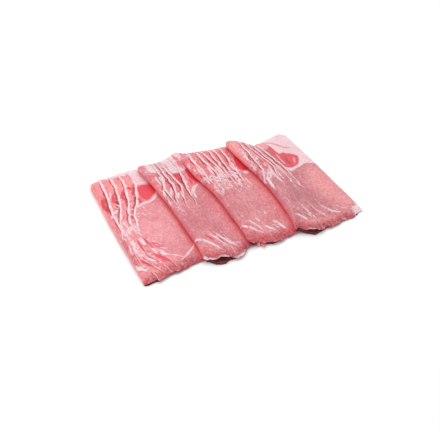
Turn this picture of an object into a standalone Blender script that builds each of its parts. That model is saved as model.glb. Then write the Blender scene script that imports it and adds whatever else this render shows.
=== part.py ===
"""A row of thinly sliced raw pork loin: four folded portions that lie one over the next.

Each portion is a pack of thin slices folded over once. Its fold is a loose roll on the left, open
at the front and at the back. The lower flap lies on what is under it, and the upper flap shows the
edges of its slices as low steps, like shingles, before it thins to a free edge on the right. The
second, third and fourth portion each start on the right part of the one before and hang down from
it to the table. X runs along the row to the right, Y to the back and Z up.
"""

import math
from dataclasses import dataclass

import bmesh
import bpy

MM = 0.001

# The whole row.
ROW_NAME = "thinly_sliced_pork"
ROW_DEPTH = 180 * MM
LAYING_GAP = 1.1 * MM  # air between one portion and the next
SLIT = 0.6 * MM  # air between the two flaps of a portion

# The fold and the flaps.
FOLD_REACH = 4.6 * MM  # from the fold's outermost line to where the flaps begin
FOLD_CAVITY_LENGTH = 13 * MM  # how far the loose space inside the fold runs between the flaps
LOWER_SHARE = 0.32  # the lower flap's part of a portion's height
LOWER_FLAP_INSET = 7 * MM  # the lower flap ends this far short of the free edge
FREE_EDGE_DROP = 9 * MM  # the stretch in which the upper flap comes down past the lower one
FREE_EDGE_DROP_SHARE = 0.8  # how far down it comes
LANDING = 18 * MM  # the stretch in which a portion comes down past a free edge under it
END_LANDING = 11 * MM  # the same past the front or the back of what is under it

# The ends of a portion, where its slices press flat.
FRONT_SINK_DEPTH = 16 * MM
FRONT_SINK_SHARE = 0.38
BACK_SINK_DEPTH = 10 * MM
BACK_CORNER_RADIUS = 8 * MM
FRONT_CORNER_RADIUS = 2 * MM

# The steps where slice edges show.
STEP_HEIGHT_BACK = 1.2 * MM
STEP_HEIGHT_MIDDLE = 0.45 * MM
STEP_HEIGHT_FRONT = 0.8 * MM
STEP_RUN = 0.45 * MM  # half the width in which a step climbs
LAST_STEP_FADE = 12 * MM
LEAN_SPAN = 0.6  # share of the depth over which slice edges lean before they run straight

# The torn front edge: two waves, as (length, height).
TORN_WAVES = ((23 * MM, 1.3 * MM), (9.5 * MM, 0.9 * MM))

# The lattice that carries each portion.
LOWER_COLUMNS = 12
FOLD_COLUMNS = 7
FLAT_COLUMNS = 8
ROWS = 22
ROW_CROWDING = 0.55  # 0 spaces the rows evenly, 1 crowds them towards the two ends

MEAT_COLOURS = ((0.78, 0.36, 0.36), (0.74, 0.31, 0.33), (0.72, 0.29, 0.32), (0.77, 0.36, 0.37))
MEAT_ROUGHNESS = 0.38
SHARP_ANGLE = math.radians(40)  # faces that meet at more than this show an edge


@dataclass(frozen=True)
class Mouth:
    """A place at the front where the upper flap stands off the lower one."""

    centre: float = 20 * MM  # distance from the fold line
    half_width: float = 12 * MM
    lift: float = 0.0
    depth: float = 16 * MM  # how far it runs in from the front edge
    lip: float = 0.0  # how far the lower flap reaches out under it


@dataclass(frozen=True)
class Layout:
    """Where a portion lies. Each tuple holds values at even spacing along the edge it describes."""

    fold_line: tuple  # x, front to back
    free_edge: tuple  # x, front to back
    front_edge: tuple  # y, fold to free edge
    back_edge: tuple  # y, fold to free edge
    heights: tuple  # upper face above what is under it, fold to free edge
    slice_edges: tuple  # distance of each step from the fold line, at the back
    lean: float  # how far the steps shift towards the free edge on their way to the front
    torn_phase: float
    back_sink: float = 0.62  # share of its height that the portion keeps at its back edge
    mouth: Mouth = Mouth()


LAYOUTS = (
    Layout(
        fold_line=(-119.2 * MM, -120.5 * MM, -119.0 * MM),
        free_edge=(-44 * MM, -42 * MM, -40 * MM),
        front_edge=(-81.5 * MM, -75.5 * MM, -69.5 * MM),
        back_edge=(83.5 * MM, 85 * MM, 86 * MM),
        heights=(6.6 * MM, 8.2 * MM, 8.6 * MM, 6.4 * MM, 1.8 * MM),
        slice_edges=(11 * MM, 22 * MM, 32 * MM, 41 * MM),
        lean=-4.5 * MM,
        torn_phase=0.4,
    ),
    Layout(
        fold_line=(-59.2 * MM, -59.3 * MM, -59.5 * MM, -62.6 * MM, -67.5 * MM),
        free_edge=(8 * MM, 10 * MM, 10 * MM),
        front_edge=(-77.9 * MM, -82.9 * MM, -83.9 * MM, -73.4 * MM, -70 * MM),
        back_edge=(82.7 * MM, 82.6 * MM, 90 * MM, 90 * MM),
        heights=(7.0 * MM, 8.6 * MM, 8.4 * MM, 6.4 * MM, 1.8 * MM),
        slice_edges=(12 * MM, 19 * MM, 27 * MM, 40 * MM),
        lean=-5 * MM,
        torn_phase=2.1,
        mouth=Mouth(centre=15.5 * MM, half_width=14 * MM, lift=3.2 * MM, depth=20 * MM, lip=4 * MM),
    ),
    Layout(
        fold_line=(-13.0 * MM, -11.6 * MM, -11.0 * MM, -16.8 * MM, -15.5 * MM),
        free_edge=(62 * MM, 64 * MM, 64 * MM),
        front_edge=(-75.3 * MM, -80.8 * MM, -81.0 * MM, -76.7 * MM, -70 * MM),
        back_edge=(80 * MM, 82.5 * MM, 85 * MM),
        heights=(6.8 * MM, 8.4 * MM, 8.4 * MM, 6.4 * MM, 1.8 * MM),
        slice_edges=(9 * MM, 18 * MM, 26 * MM, 33 * MM, 40 * MM, 47 * MM),
        lean=-2 * MM,
        torn_phase=3.7,
    ),
    Layout(
        fold_line=(34.5 * MM, 42.3 * MM, 44.8 * MM, 41.6 * MM, 39.5 * MM),
        free_edge=(117.5 * MM, 120.0 * MM, 120.5 * MM),
        front_edge=(-79 * MM, -87 * MM, -86.5 * MM, -83.5 * MM, -81 * MM),
        back_edge=(82 * MM, 71.6 * MM, 66.8 * MM, 69 * MM, 81.5 * MM),
        heights=(8.4 * MM, 9.2 * MM, 7.4 * MM, 4.6 * MM, 2.0 * MM),
        slice_edges=(15 * MM, 24 * MM, 30 * MM, 35 * MM),
        lean=7 * MM,
        torn_phase=5.2,
        back_sink=0.92,
        mouth=Mouth(centre=20 * MM, half_width=12 * MM, lift=1.8 * MM, depth=16 * MM, lip=1 * MM),
    ),
)


def smooth_step(share):
    """Climb from 0 to 1 as share goes from 0 to 1, level at both ends."""
    share = min(max(share, 0.0), 1.0)
    return share * share * (3 - 2 * share)


def along(values, share):
    """Read a smooth curve through evenly spaced values, at a share of its length."""
    spans = len(values) - 1
    place = min(max(share, 0.0), 1.0) * spans
    start = min(int(place), spans - 1)
    part = place - start
    near, far = values[start], values[start + 1]
    before = values[start - 1] if start > 0 else 2 * near - far
    after = values[start + 2] if start + 2 <= spans else 2 * far - near
    return 0.5 * (
        2 * near
        + (far - before) * part
        + (2 * before - 5 * near + 4 * far - after) * part**2
        + (3 * near - before - 3 * far + after) * part**3
    )


def corner_cut(distance, radius):
    """How far a rounded corner holds an edge back, at a distance from the corner."""
    share = 1 - min(distance / radius, 1.0)
    return radius * (1 - math.sqrt(1 - share * share))


class Portion:
    """One folded pack of slices and what it lies on."""

    def __init__(self, layout, under):
        self.layout = layout
        self.under = under

    def fold_x(self, y):
        """The fold's outermost line."""
        return along(self.layout.fold_line, y / ROW_DEPTH + 0.5)

    def width(self, y):
        """From the fold line to the free edge."""
        return along(self.layout.free_edge, y / ROW_DEPTH + 0.5) - self.fold_x(y)

    def nominal_width(self):
        """The width halfway between front and back."""
        return self.width(0.0)

    def torn(self, distance):
        """The torn front edge's wave, at a distance from the fold line."""
        return sum(
            height * math.sin(math.tau * distance / length + self.layout.torn_phase * order)
            for order, (length, height) in enumerate(TORN_WAVES, start=1)
        )

    def front_y(self, distance):
        """The front edge, at a distance from the fold line."""
        straight = along(self.layout.front_edge, distance / self.nominal_width())
        return straight + corner_cut(distance, FRONT_CORNER_RADIUS) + self.torn(distance)

    def back_y(self, distance):
        """The back edge, at a distance from the fold line."""
        straight = along(self.layout.back_edge, distance / self.nominal_width())
        return straight - corner_cut(distance, BACK_CORNER_RADIUS)

    def mouth_bump(self, distance):
        """1 at the middle of the mouth, 0 from its sides on."""
        mouth = self.layout.mouth
        return smooth_step(1 - abs(distance - mouth.centre) / mouth.half_width)

    def lip(self, distance):
        """How far the lower flap reaches out under the mouth."""
        return self.layout.mouth.lip * self.mouth_bump(distance)

    def mouth_lift(self, distance, y):
        """How far the mouth lifts the upper flap."""
        inward = smooth_step((y - self.front_y(distance)) / self.layout.mouth.depth)
        return self.layout.mouth.lift * self.mouth_bump(distance) * (1 - inward)

    def end_share(self, distance, y):
        """How much of its height a portion keeps near its front and back, and just past them."""
        from_front = y - self.front_y(distance)
        from_back = self.back_y(distance) - y
        front = FRONT_SINK_SHARE + (1 - FRONT_SINK_SHARE) * smooth_step(from_front / FRONT_SINK_DEPTH)
        sink = self.layout.back_sink
        back = sink + (1 - sink) * smooth_step(from_back / BACK_SINK_DEPTH)
        past = smooth_step(1 + min(from_front, from_back, 0.0) / END_LANDING)
        return front * back * past

    def height(self, distance, y):
        """The upper face above what is under it, without steps or mouth."""
        share = distance / self.width(y)
        past = smooth_step(1 - max(distance - self.width(y), 0.0) / LANDING)
        return along(self.layout.heights, share) * self.end_share(distance, y) * past

    def support(self, x, y):
        """The height on which this portion lies."""
        return self.under.top(x, y) if self.under else 0.0

    def top(self, x, y):
        """The height at which the next portion may lie on this one."""
        distance = x - self.fold_x(y)
        air = LAYING_GAP * smooth_step(1 - max(distance - self.width(y), 0.0) / LANDING)
        return self.support(x, y) + self.height(distance, y) + air

    def slice_edge(self, number, depth):
        """The distance of a step from the fold line, at a share of the depth."""
        return self.layout.slice_edges[number] + self.layout.lean * smooth_step((1 - depth) / LEAN_SPAN)

    def step_height(self, depth):
        """The steps are highest at the back, pressed flat in the middle and show again in front."""
        back = smooth_step(2 * depth - 1)
        front = smooth_step(1 - 2 * depth)
        rise = STEP_HEIGHT_MIDDLE * (1 - back - front)
        return rise + STEP_HEIGHT_BACK * back + STEP_HEIGHT_FRONT * front

    def relief(self, distance, depth):
        """The shingled steps: each climbs at its edge and sinks back towards the next."""
        half = self.step_height(depth) / 2
        edges = [self.slice_edge(number, depth) for number in range(len(self.layout.slice_edges))]
        passed = [edge for edge in edges if distance > edge]
        ahead = [edge for edge in edges if distance <= edge]
        start = passed[-1] if passed else FOLD_REACH
        level = half if passed else 0.0
        stop = ahead[0] if ahead else start + LAST_STEP_FADE
        target = -half if ahead else 0.0
        share = min(max((distance - start) / (stop - start), 0.0), 1.0)
        return level + (target - level) * share

    def upper_stations(self, depth):
        """The upper flap's columns: two at each step, then an even spread to the free edge."""
        stations = [FOLD_REACH]
        for number in range(len(self.layout.slice_edges)):
            edge = self.slice_edge(number, depth)
            stations += [edge - STEP_RUN, edge + STEP_RUN]
        last = stations[-1]
        rest = self.nominal_width() - last
        stations += [last + rest * (column + 1) / FLAT_COLUMNS for column in range(FLAT_COLUMNS)]
        return stations

    def column_count(self):
        """The lattice's columns, round the whole fold."""
        return LOWER_COLUMNS + FOLD_COLUMNS + 2 * len(self.layout.slice_edges) + FLAT_COLUMNS

    def point(self, distance, y, height):
        """The place of a point at a distance from the fold line and a height above the support."""
        x = self.fold_x(y) + distance
        return (x, y, self.support(x, y) + height)

    def depth_y(self, distance, depth, lip=0.0):
        """The y at a share of the depth, from the front edge or its lip to the back edge."""
        front = self.front_y(distance) - lip
        return front + depth * (self.back_y(distance) - front)

    def lower_flap(self, share, depth, outer):
        """From the lower flap's right end, share 0, to the fold, share 1."""
        run = self.nominal_width() - LOWER_FLAP_INSET
        distance = run + (FOLD_REACH - run) * share
        y = self.depth_y(distance, depth, self.lip(distance))
        distance *= 1 + (self.width(y) / self.nominal_width() - 1) * (1 - share)
        return self.point(distance, y, 0.0 if outer else LOWER_SHARE * self.height(distance, y))

    def fold(self, share, depth, outer):
        """Half a turn, from the lower flap, share 0, to the upper one, share 1."""
        angle = math.pi * share
        y = self.depth_y(FOLD_REACH * (1 - math.sin(angle)), depth)
        roll = self.height(FOLD_REACH, y) / 2
        inset = 0.0 if outer else 2 * LOWER_SHARE * roll
        distance = FOLD_REACH - (FOLD_REACH - inset) * math.sin(angle)
        return self.point(distance, y, roll - (roll - inset) * math.cos(angle))

    def upper_flap(self, station, depth, outer):
        """A station of the upper flap, from the fold to the free edge."""
        share = (station - FOLD_REACH) / (self.nominal_width() - FOLD_REACH)
        y = self.depth_y(station, depth)
        distance = station + (self.width(y) - self.nominal_width()) * share
        height = self.height(distance, y)
        lift = self.mouth_lift(distance, y)
        if outer:
            return self.point(distance, y, height + self.relief(station, depth) + lift)
        loose = height * (1 - LOWER_SHARE)
        closed = LOWER_SHARE * height + SLIT
        level = loose + (closed - loose) * smooth_step((distance - FOLD_REACH) / FOLD_CAVITY_LENGTH)
        past_lower = distance - (self.width(y) - LOWER_FLAP_INSET)
        level *= 1 - FREE_EDGE_DROP_SHARE * smooth_step(past_lower / FREE_EDGE_DROP)
        return self.point(distance, y, level + lift)

    def surface(self, column, depth, outer):
        """A point of the portion's inner or outer face, by lattice column and share of the depth."""
        if column < LOWER_COLUMNS:
            return self.lower_flap(column / LOWER_COLUMNS, depth, outer)
        column -= LOWER_COLUMNS
        if column < FOLD_COLUMNS:
            return self.fold(column / FOLD_COLUMNS, depth, outer)
        return self.upper_flap(self.upper_stations(depth)[column - FOLD_COLUMNS], depth, outer)


def row_depth_share(row):
    """The share of the depth at which a lattice row lies, closer together at both ends."""
    even = row / ROWS
    crowded = 0.5 - 0.5 * math.cos(math.pi * even)
    return even + (crowded - even) * ROW_CROWDING


def flat_slab(name, columns):
    """A flat slab of unit size on a grid of triangles, both faces split alike."""
    bpy.ops.mesh.primitive_grid_add(x_subdivisions=columns, y_subdivisions=ROWS, size=1)
    slab = bpy.context.object
    slab.name = name
    slab.data.name = name
    mesh = bmesh.new()
    mesh.from_mesh(slab.data)
    bmesh.ops.triangulate(mesh, faces=mesh.faces, quad_method="FIXED")
    mesh.to_mesh(slab.data)
    mesh.free()
    thickness = slab.modifiers.new("thickness", "SOLIDIFY")
    thickness.thickness = 1
    thickness.offset = 0
    bpy.ops.object.modifier_apply(modifier=thickness.name)
    return slab


def fold_slab(slab, portion):
    """Carry each point of the flat slab to its place on the folded portion."""
    columns = portion.column_count()
    for vertex in slab.data.vertices:
        column = round((vertex.co.x + 0.5) * columns)
        row = round((vertex.co.y + 0.5) * ROWS)
        vertex.co = portion.surface(column, row_depth_share(row), outer=vertex.co.z > 0)


def meat_material(name, colour):
    """Raw pork's plain colour and its moist, even gloss."""
    material = bpy.data.materials.new(name)
    material.use_nodes = True
    shader = material.node_tree.nodes["Principled BSDF"]
    shader.inputs["Base Color"].default_value = (*colour, 1)
    shader.inputs["Roughness"].default_value = MEAT_ROUGHNESS
    shader.inputs["Metallic"].default_value = 0
    material.diffuse_color = (*colour, 1)
    return material


def clear_scene():
    """Remove every object that the scene starts with."""
    for thing in list(bpy.data.objects):
        bpy.data.objects.remove(thing, do_unlink=True)


def build():
    """Lay the portions from left to right, each on the one before."""
    clear_scene()
    row = bpy.data.collections.new(ROW_NAME)
    bpy.context.scene.collection.children.link(row)
    under = None
    for number, (layout, colour) in enumerate(zip(LAYOUTS, MEAT_COLOURS), start=1):
        portion = Portion(layout, under)
        slab = flat_slab(f"folded_slices_{number}", portion.column_count())
        fold_slab(slab, portion)
        slab.data.materials.append(meat_material(f"raw_pork_{number}", colour))
        slab.data.shade_smooth()
        slab.data.set_sharp_from_angle(angle=SHARP_ANGLE)
        for collection in list(slab.users_collection):
            collection.objects.unlink(slab)
        row.objects.link(slab)
        under = portion


build()
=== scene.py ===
"""Looks of a row of thinly sliced raw pork loin.

Four folded portions lie one over the next. Each is a pack of thin slices: two wrap round the loose
fold on the left, and the others lie on them like shingles, each with its fatty rim in view. Every
slice is a closed sheet with its own rim, ragged ends and thickness. Its fat, red muscle and grain
come from attributes on its mesh and from noise. Lengths are in millimetres until a mesh is set.
"""

import logging
import math
from dataclasses import dataclass
from enum import IntEnum
from typing import Callable, Optional

import bpy
import numpy as np
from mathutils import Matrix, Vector


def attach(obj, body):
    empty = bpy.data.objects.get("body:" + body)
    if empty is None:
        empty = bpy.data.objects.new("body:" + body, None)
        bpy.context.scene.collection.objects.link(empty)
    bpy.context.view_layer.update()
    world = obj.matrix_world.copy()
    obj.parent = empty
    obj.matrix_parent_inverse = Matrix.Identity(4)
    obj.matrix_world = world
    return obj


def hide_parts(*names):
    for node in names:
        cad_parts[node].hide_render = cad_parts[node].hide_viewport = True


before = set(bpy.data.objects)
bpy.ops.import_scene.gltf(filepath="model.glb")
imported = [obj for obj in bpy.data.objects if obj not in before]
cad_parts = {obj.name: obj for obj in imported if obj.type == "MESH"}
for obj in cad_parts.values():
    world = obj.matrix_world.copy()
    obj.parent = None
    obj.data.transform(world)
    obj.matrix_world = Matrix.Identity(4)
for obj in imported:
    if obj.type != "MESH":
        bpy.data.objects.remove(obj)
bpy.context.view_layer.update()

Array = np.ndarray
Socket = bpy.types.NodeSocket

MM = 0.001
BODY = "root"

# The whole row, as the solids have it.
ROW_DEPTH = 180.0
LAYING_GAP = 1.1
SLIT = 0.6
FOLD_REACH = 4.6
FOLD_SAG = 1.45  # the loose fold bulges most below half its height
FOLD_CAVITY_LENGTH = 13.0
LOWER_SHARE = 0.32
LOWER_FLAP_INSET = 7.0
FREE_EDGE_DROP = 9.0
FREE_EDGE_DROP_SHARE = 0.8
LANDING = 18.0
END_LANDING = 11.0
FRONT_SINK_DEPTH = 16.0
FRONT_SINK_SHARE = 0.38
FRONT_ROUNDNESS = 2.4  # the slices sink late, in a soft round nose
BACK_SINK_DEPTH = 10.0
BACK_CORNER_RADIUS = 8.0
FRONT_CORNER_RADIUS = 2.0
TORN_WAVES = ((23.0, 0.8), (9.5, 0.5))
LAST_STEP_FADE = 12.0
NUB_SPREAD = 1.3  # a nub's height spreads wider than its reach
NUB_RISE = 7.0

# The slices.
SLICE_THICKNESS = 1.25
THINNEST = 0.24
CLING_GAP = 0.03
PACKED_SHARE = 0.94  # what the slices take up of the upper flap's room
RIM_SWELL = 5.0  # a slice reaches its full thickness this far in from its rim
RIM_LIMIT = 1.6  # a rim is at most this many times as thick as its slice
RIM_MARGIN = 0.04
THINNEST_RIM = 0.14
FIRST_RIM_ROOM = 0.6  # the rims stay clear of the fold, each next one a little more
NEXT_RIM_ROOM = 0.35
END_STAGGER = 0.9  # a slice ends short of the top one by this share of the way between rims
SHORTEST_SLICE = 12.0
LEAST_TUCK = 5.0  # each slice ends at least this far under the top one
END_SWELL = 6.0
END_SHARE = 0.2  # a tucked end's share of the slice's thickness
FREE_END_SWELL = 10.0
FREE_END_THICKNESS = 1.7
WRAP_SHARE = 0.5  # of the lower flap's thickness, for each of the two wraps
WRAP_SWELL = 8.0
EDGE_RADIUS = 0.6
THINNEST_EDGE = 0.12
RIM_RADIUS = 1.1  # the left rims are soft fat

# Unevenness: height, length of a bump and shift of each layer.
UNDULATION = ((0.22, 13.0, 0.0), (0.09, 4.6, 300.0))
RAGGED_RIM = ((0.8, 5.5, 0.0), (0.25, 2.2, 9.0))
RAGGED_FRONT = ((0.6, 4.3, 0.0), (0.55, 1.7, 7.0))
RAGGED_BACK = ((0.45, 6.5, 13.0),)

# The lattice of a slice. The rough front and depth serve until its own edges are known.
ROUGH_FRONT = -78.0
ROUGH_DEPTH = 160.0
SETTLING_ROUNDS = 3
ROW_SPACING = 0.8
COLUMN_SPACING = 0.75
EDGE_STATIONS = (0.0, 0.12, 0.3, 0.6, 1.05)

STRAY_SHARE = 0.35  # how far a strewn streak strays from its way
LEAST_RISE = 1e-9  # a level stretch of an outline counts as this steep

# How far the slices under the top one reach out at the front, from the first one on.
FRONT_REACHES = (1.4, 0.3, 1.8, 0.8, 1.2)
INNER_WRAP_REACH = -1.0
INNER_WRAP_SHARE = (0.52, 1.0)

logger = logging.getLogger("thinly_sliced_pork")


def smooth_step(share: Array) -> Array:
    """Climb from 0 to 1 as share goes from 0 to 1, level at both ends."""
    share = np.clip(share, 0.0, 1.0)
    return share * share * (3 - 2 * share)


def fade(distance: Array, reach: float) -> Array:
    """1 at no distance, 0 from the reach on."""
    return 1 - smooth_step(distance / reach)


def between(first: Array, second: Array, share: Array) -> Array:
    """The value at a share of the way from the first to the second."""
    return first + (second - first) * share


def bell(distance: Array, centre: float, half_width: float) -> Array:
    """1 at the centre, 0 from half the width on."""
    return smooth_step(1 - np.abs(distance - centre) / half_width)


def rough_y(depth: Array) -> Array:
    """About where a share of the depth lies."""
    return ROUGH_FRONT + ROUGH_DEPTH * depth


def along(values: tuple, share: Array) -> Array:
    """Read a smooth curve through evenly spaced values.

    Args:
        values: what the curve passes through, evenly spaced.
        share: where to read it, from 0 to 1.

    Returns:
        The curve's value at each share.
    """
    near_values = np.asarray(values, float)
    before_first = 2 * near_values[0] - near_values[1]
    after_last = 2 * near_values[-1] - near_values[-2]
    padded = np.concatenate(([before_first], near_values, [after_last]))
    spans = len(near_values) - 1
    place = np.clip(share, 0.0, 1.0) * spans
    start = np.minimum(place.astype(int), spans - 1)
    part = place - start
    before, near, far, after = (padded[start + step] for step in range(4))
    return 0.5 * (
        2 * near
        + (far - before) * part
        + (2 * before - 5 * near + 4 * far - after) * part**2
        + (3 * near - before - 3 * far + after) * part**3
    )


def corner_cut(distance: Array, radius: float) -> Array:
    """How far a rounded corner holds an edge back, at a distance from the corner."""
    share = 1 - np.clip(distance / radius, 0.0, 1.0)
    return radius * (1 - np.sqrt(1 - share * share))


def rounded(distance: Array, radius: float = EDGE_RADIUS) -> Array:
    """The share of its thickness that a sheet has, at a distance from its rounded edge."""
    share = 1 - np.clip(distance / radius, 0.0, 1.0)
    return np.maximum(np.sqrt(1 - share * share), THINNEST_EDGE)


class Unevenness:
    """Smooth seeded unevenness, from -1 to 1."""

    SIZE = 97

    def __init__(self, seed: int) -> None:
        self.lattice = np.random.default_rng(seed).uniform(-1, 1, (self.SIZE, self.SIZE))

    def at(self, across: Array, along_it: Array, length: float) -> Array:
        """Read it.

        Args:
            across: first coordinate, in millimetres.
            along_it: second coordinate, in millimetres.
            length: the size of one bump, in millimetres.

        Returns:
            The unevenness at each place.
        """
        first, second = np.asarray(across) / length, np.asarray(along_it) / length
        first, second = np.broadcast_arrays(first, second)
        row, column = np.floor(first).astype(int), np.floor(second).astype(int)
        down, right = smooth_step(first - row), smooth_step(second - column)
        total = np.zeros(first.shape)
        for row_step, row_weight in ((0, 1 - down), (1, down)):
            for column_step, column_weight in ((0, 1 - right), (1, right)):
                place = (row + row_step) % self.SIZE, (column + column_step) % self.SIZE
                total += self.lattice[place] * row_weight * column_weight
        return total

    def layers(self, across: Array, lane: float, layers: tuple) -> Array:
        """Add up layers of unevenness along a line.

        Args:
            across: places on the line, in millimetres.
            lane: which line.
            layers: height, length of a bump and shift of each layer.

        Returns:
            The unevenness at each place, in millimetres.
        """
        return sum(
            height * self.at(across, lane + shift, length) for height, length, shift in layers
        )


class Tissue(IntEnum):
    """What a mark on a slice is made of, with the channel that holds it."""

    FAT = 0
    RED = 1
    CORAL = 2
    # painted shade: a deep red laid in creases, beside the slices' steps and on the front ends
    DARK = 3
    # painted shade: a saturated red laid in creases and on the front ends
    BLUSH = 4


def nearest_on(line: Array, places: Array) -> tuple:
    """The way from each place to a line, squared, and how far along the line that meets it."""
    nearest, at = np.full(len(places), np.inf), np.zeros(len(places))
    for order, (start, end) in enumerate(zip(line[:-1], line[1:])):
        run = end - start
        share = np.clip(((places - start) @ run) / (run @ run), 0.0, 1.0)
        gap = places - start - share[:, None] * run
        apart = np.einsum("ij,ij->i", gap, gap)
        at = np.where(apart < nearest, (order + share) / (len(line) - 1), at)
        nearest = np.minimum(nearest, apart)
    return nearest, at


def encloses(ring: Array, places: Array) -> Array:
    """Whether each place lies inside a closed ring."""
    inside = np.zeros(len(places), bool)
    for start, end in zip(ring[:-1], ring[1:]):
        run = end - start
        crosses = (start[1] > places[:, 1]) != (end[1] > places[:, 1])
        rise = run[1] if abs(run[1]) > LEAST_RISE else LEAST_RISE
        meets = start[0] + (places[:, 1] - start[1]) * run[0] / rise
        inside ^= crosses & (places[:, 0] < meets)
    return inside


class Mark:
    """A place on the slices that one tissue covers, with a soft border."""

    tissue: Tissue
    softness: float
    strength: float

    def line(self) -> Array:
        """The line that the mark follows, as close points."""
        raise NotImplementedError

    def reach(self) -> float:
        """How far from its line the mark reaches."""
        raise NotImplementedError

    def depth(self, line: Array, places: Array) -> Array:
        """How far inside the mark's border each place lies."""
        raise NotImplementedError

    def cover(self, places: Array) -> Array:
        """How surely each place lies in the mark: a half at its border, more inside."""
        line, reach = self.line(), self.reach()
        within = (places > line.min(axis=0) - reach) & (places < line.max(axis=0) + reach)
        near = np.all(within, axis=1)
        inside = self.depth(line, places[near])
        found = np.zeros(len(places))
        found[near] = np.clip(0.5 + inside / (2 * self.softness), 0.0, 1.0) * self.strength
        return found


@dataclass(frozen=True)
class Streak(Mark):
    """A streak of one tissue along a smooth line."""

    tissue: Tissue
    half_width: float
    points: tuple
    strength: float = 1.0
    softness: float = 1.1

    STEPS = 5
    TAPER = 0.3  # share of its length over which each end thins out
    TIP_SHARE = 0.25  # of the full width

    def line(self) -> Array:
        """The streak's middle line, as close points."""
        count = (len(self.points) - 1) * self.STEPS + 1
        share = np.linspace(0, 1, count)
        return np.stack([along(values, share) for values in zip(*self.points)], axis=-1)

    def reach(self) -> float:
        """How far from its line the streak reaches."""
        return self.half_width + self.softness

    def depth(self, line: Array, places: Array) -> Array:
        """How far inside the streak's border each place lies."""
        nearest, at = nearest_on(line, places)
        swell = smooth_step(np.minimum(at, 1 - at) / self.TAPER)
        return self.half_width * (self.TIP_SHARE + (1 - self.TIP_SHARE) * swell) - np.sqrt(nearest)


@dataclass(frozen=True)
class Patch(Mark):
    """A patch of one tissue inside a rounded outline."""

    tissue: Tissue
    outline: tuple
    softness: float
    strength: float

    STEPS = 4
    MARGIN = 0.1

    def line(self) -> Array:
        """The outline as close points, the last on the first."""
        closed = self.outline[-1:] + self.outline + self.outline[:2]
        spans = len(closed) - 1
        share = np.linspace(1 / spans, (spans - 1) / spans, len(self.outline) * self.STEPS + 1)
        return np.stack([along(values, share) for values in zip(*closed)], axis=-1)

    def reach(self) -> float:
        """How far outside its outline the patch reaches."""
        return self.softness + self.MARGIN

    def depth(self, line: Array, places: Array) -> Array:
        """How far inside the outline each place lies."""
        nearest, _ = nearest_on(line, places)
        return np.sqrt(nearest) * np.where(encloses(line, places), 1, -1)


@dataclass(frozen=True)
class Mouth:
    """A place at the front where the upper flap stands off the lower one."""

    centre: float = 20.0
    half_width: float = 12.0
    lift: float = 0.0
    depth: float = 16.0
    lip: float = 0.0


@dataclass(frozen=True)
class Nub:
    """A place at the back where the fat stands out and up a little."""

    centre: float = 0.0  # from the fold line
    half_width: float = 1.0
    reach: float = 0.0
    lift: float = 0.0


@dataclass(frozen=True)
class Layout:
    """Where a portion lies. Each tuple holds values at even spacing along the edge it describes."""

    fold_line: tuple
    free_edge: tuple
    front_edge: tuple
    back_edge: tuple
    heights: tuple
    torn_phase: float
    slice_edges: tuple  # x of each slice's left edge, front to back
    step_heights: tuple = (0.3, 0.2, 0.05, 0.06, 0.6, 0.8, 0.7)  # front to back
    back_sink: float = 0.62
    mouth: Mouth = Mouth()
    corner_radius: float = 0.0  # of the free edge's back corner
    nub: Nub = Nub()


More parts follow.
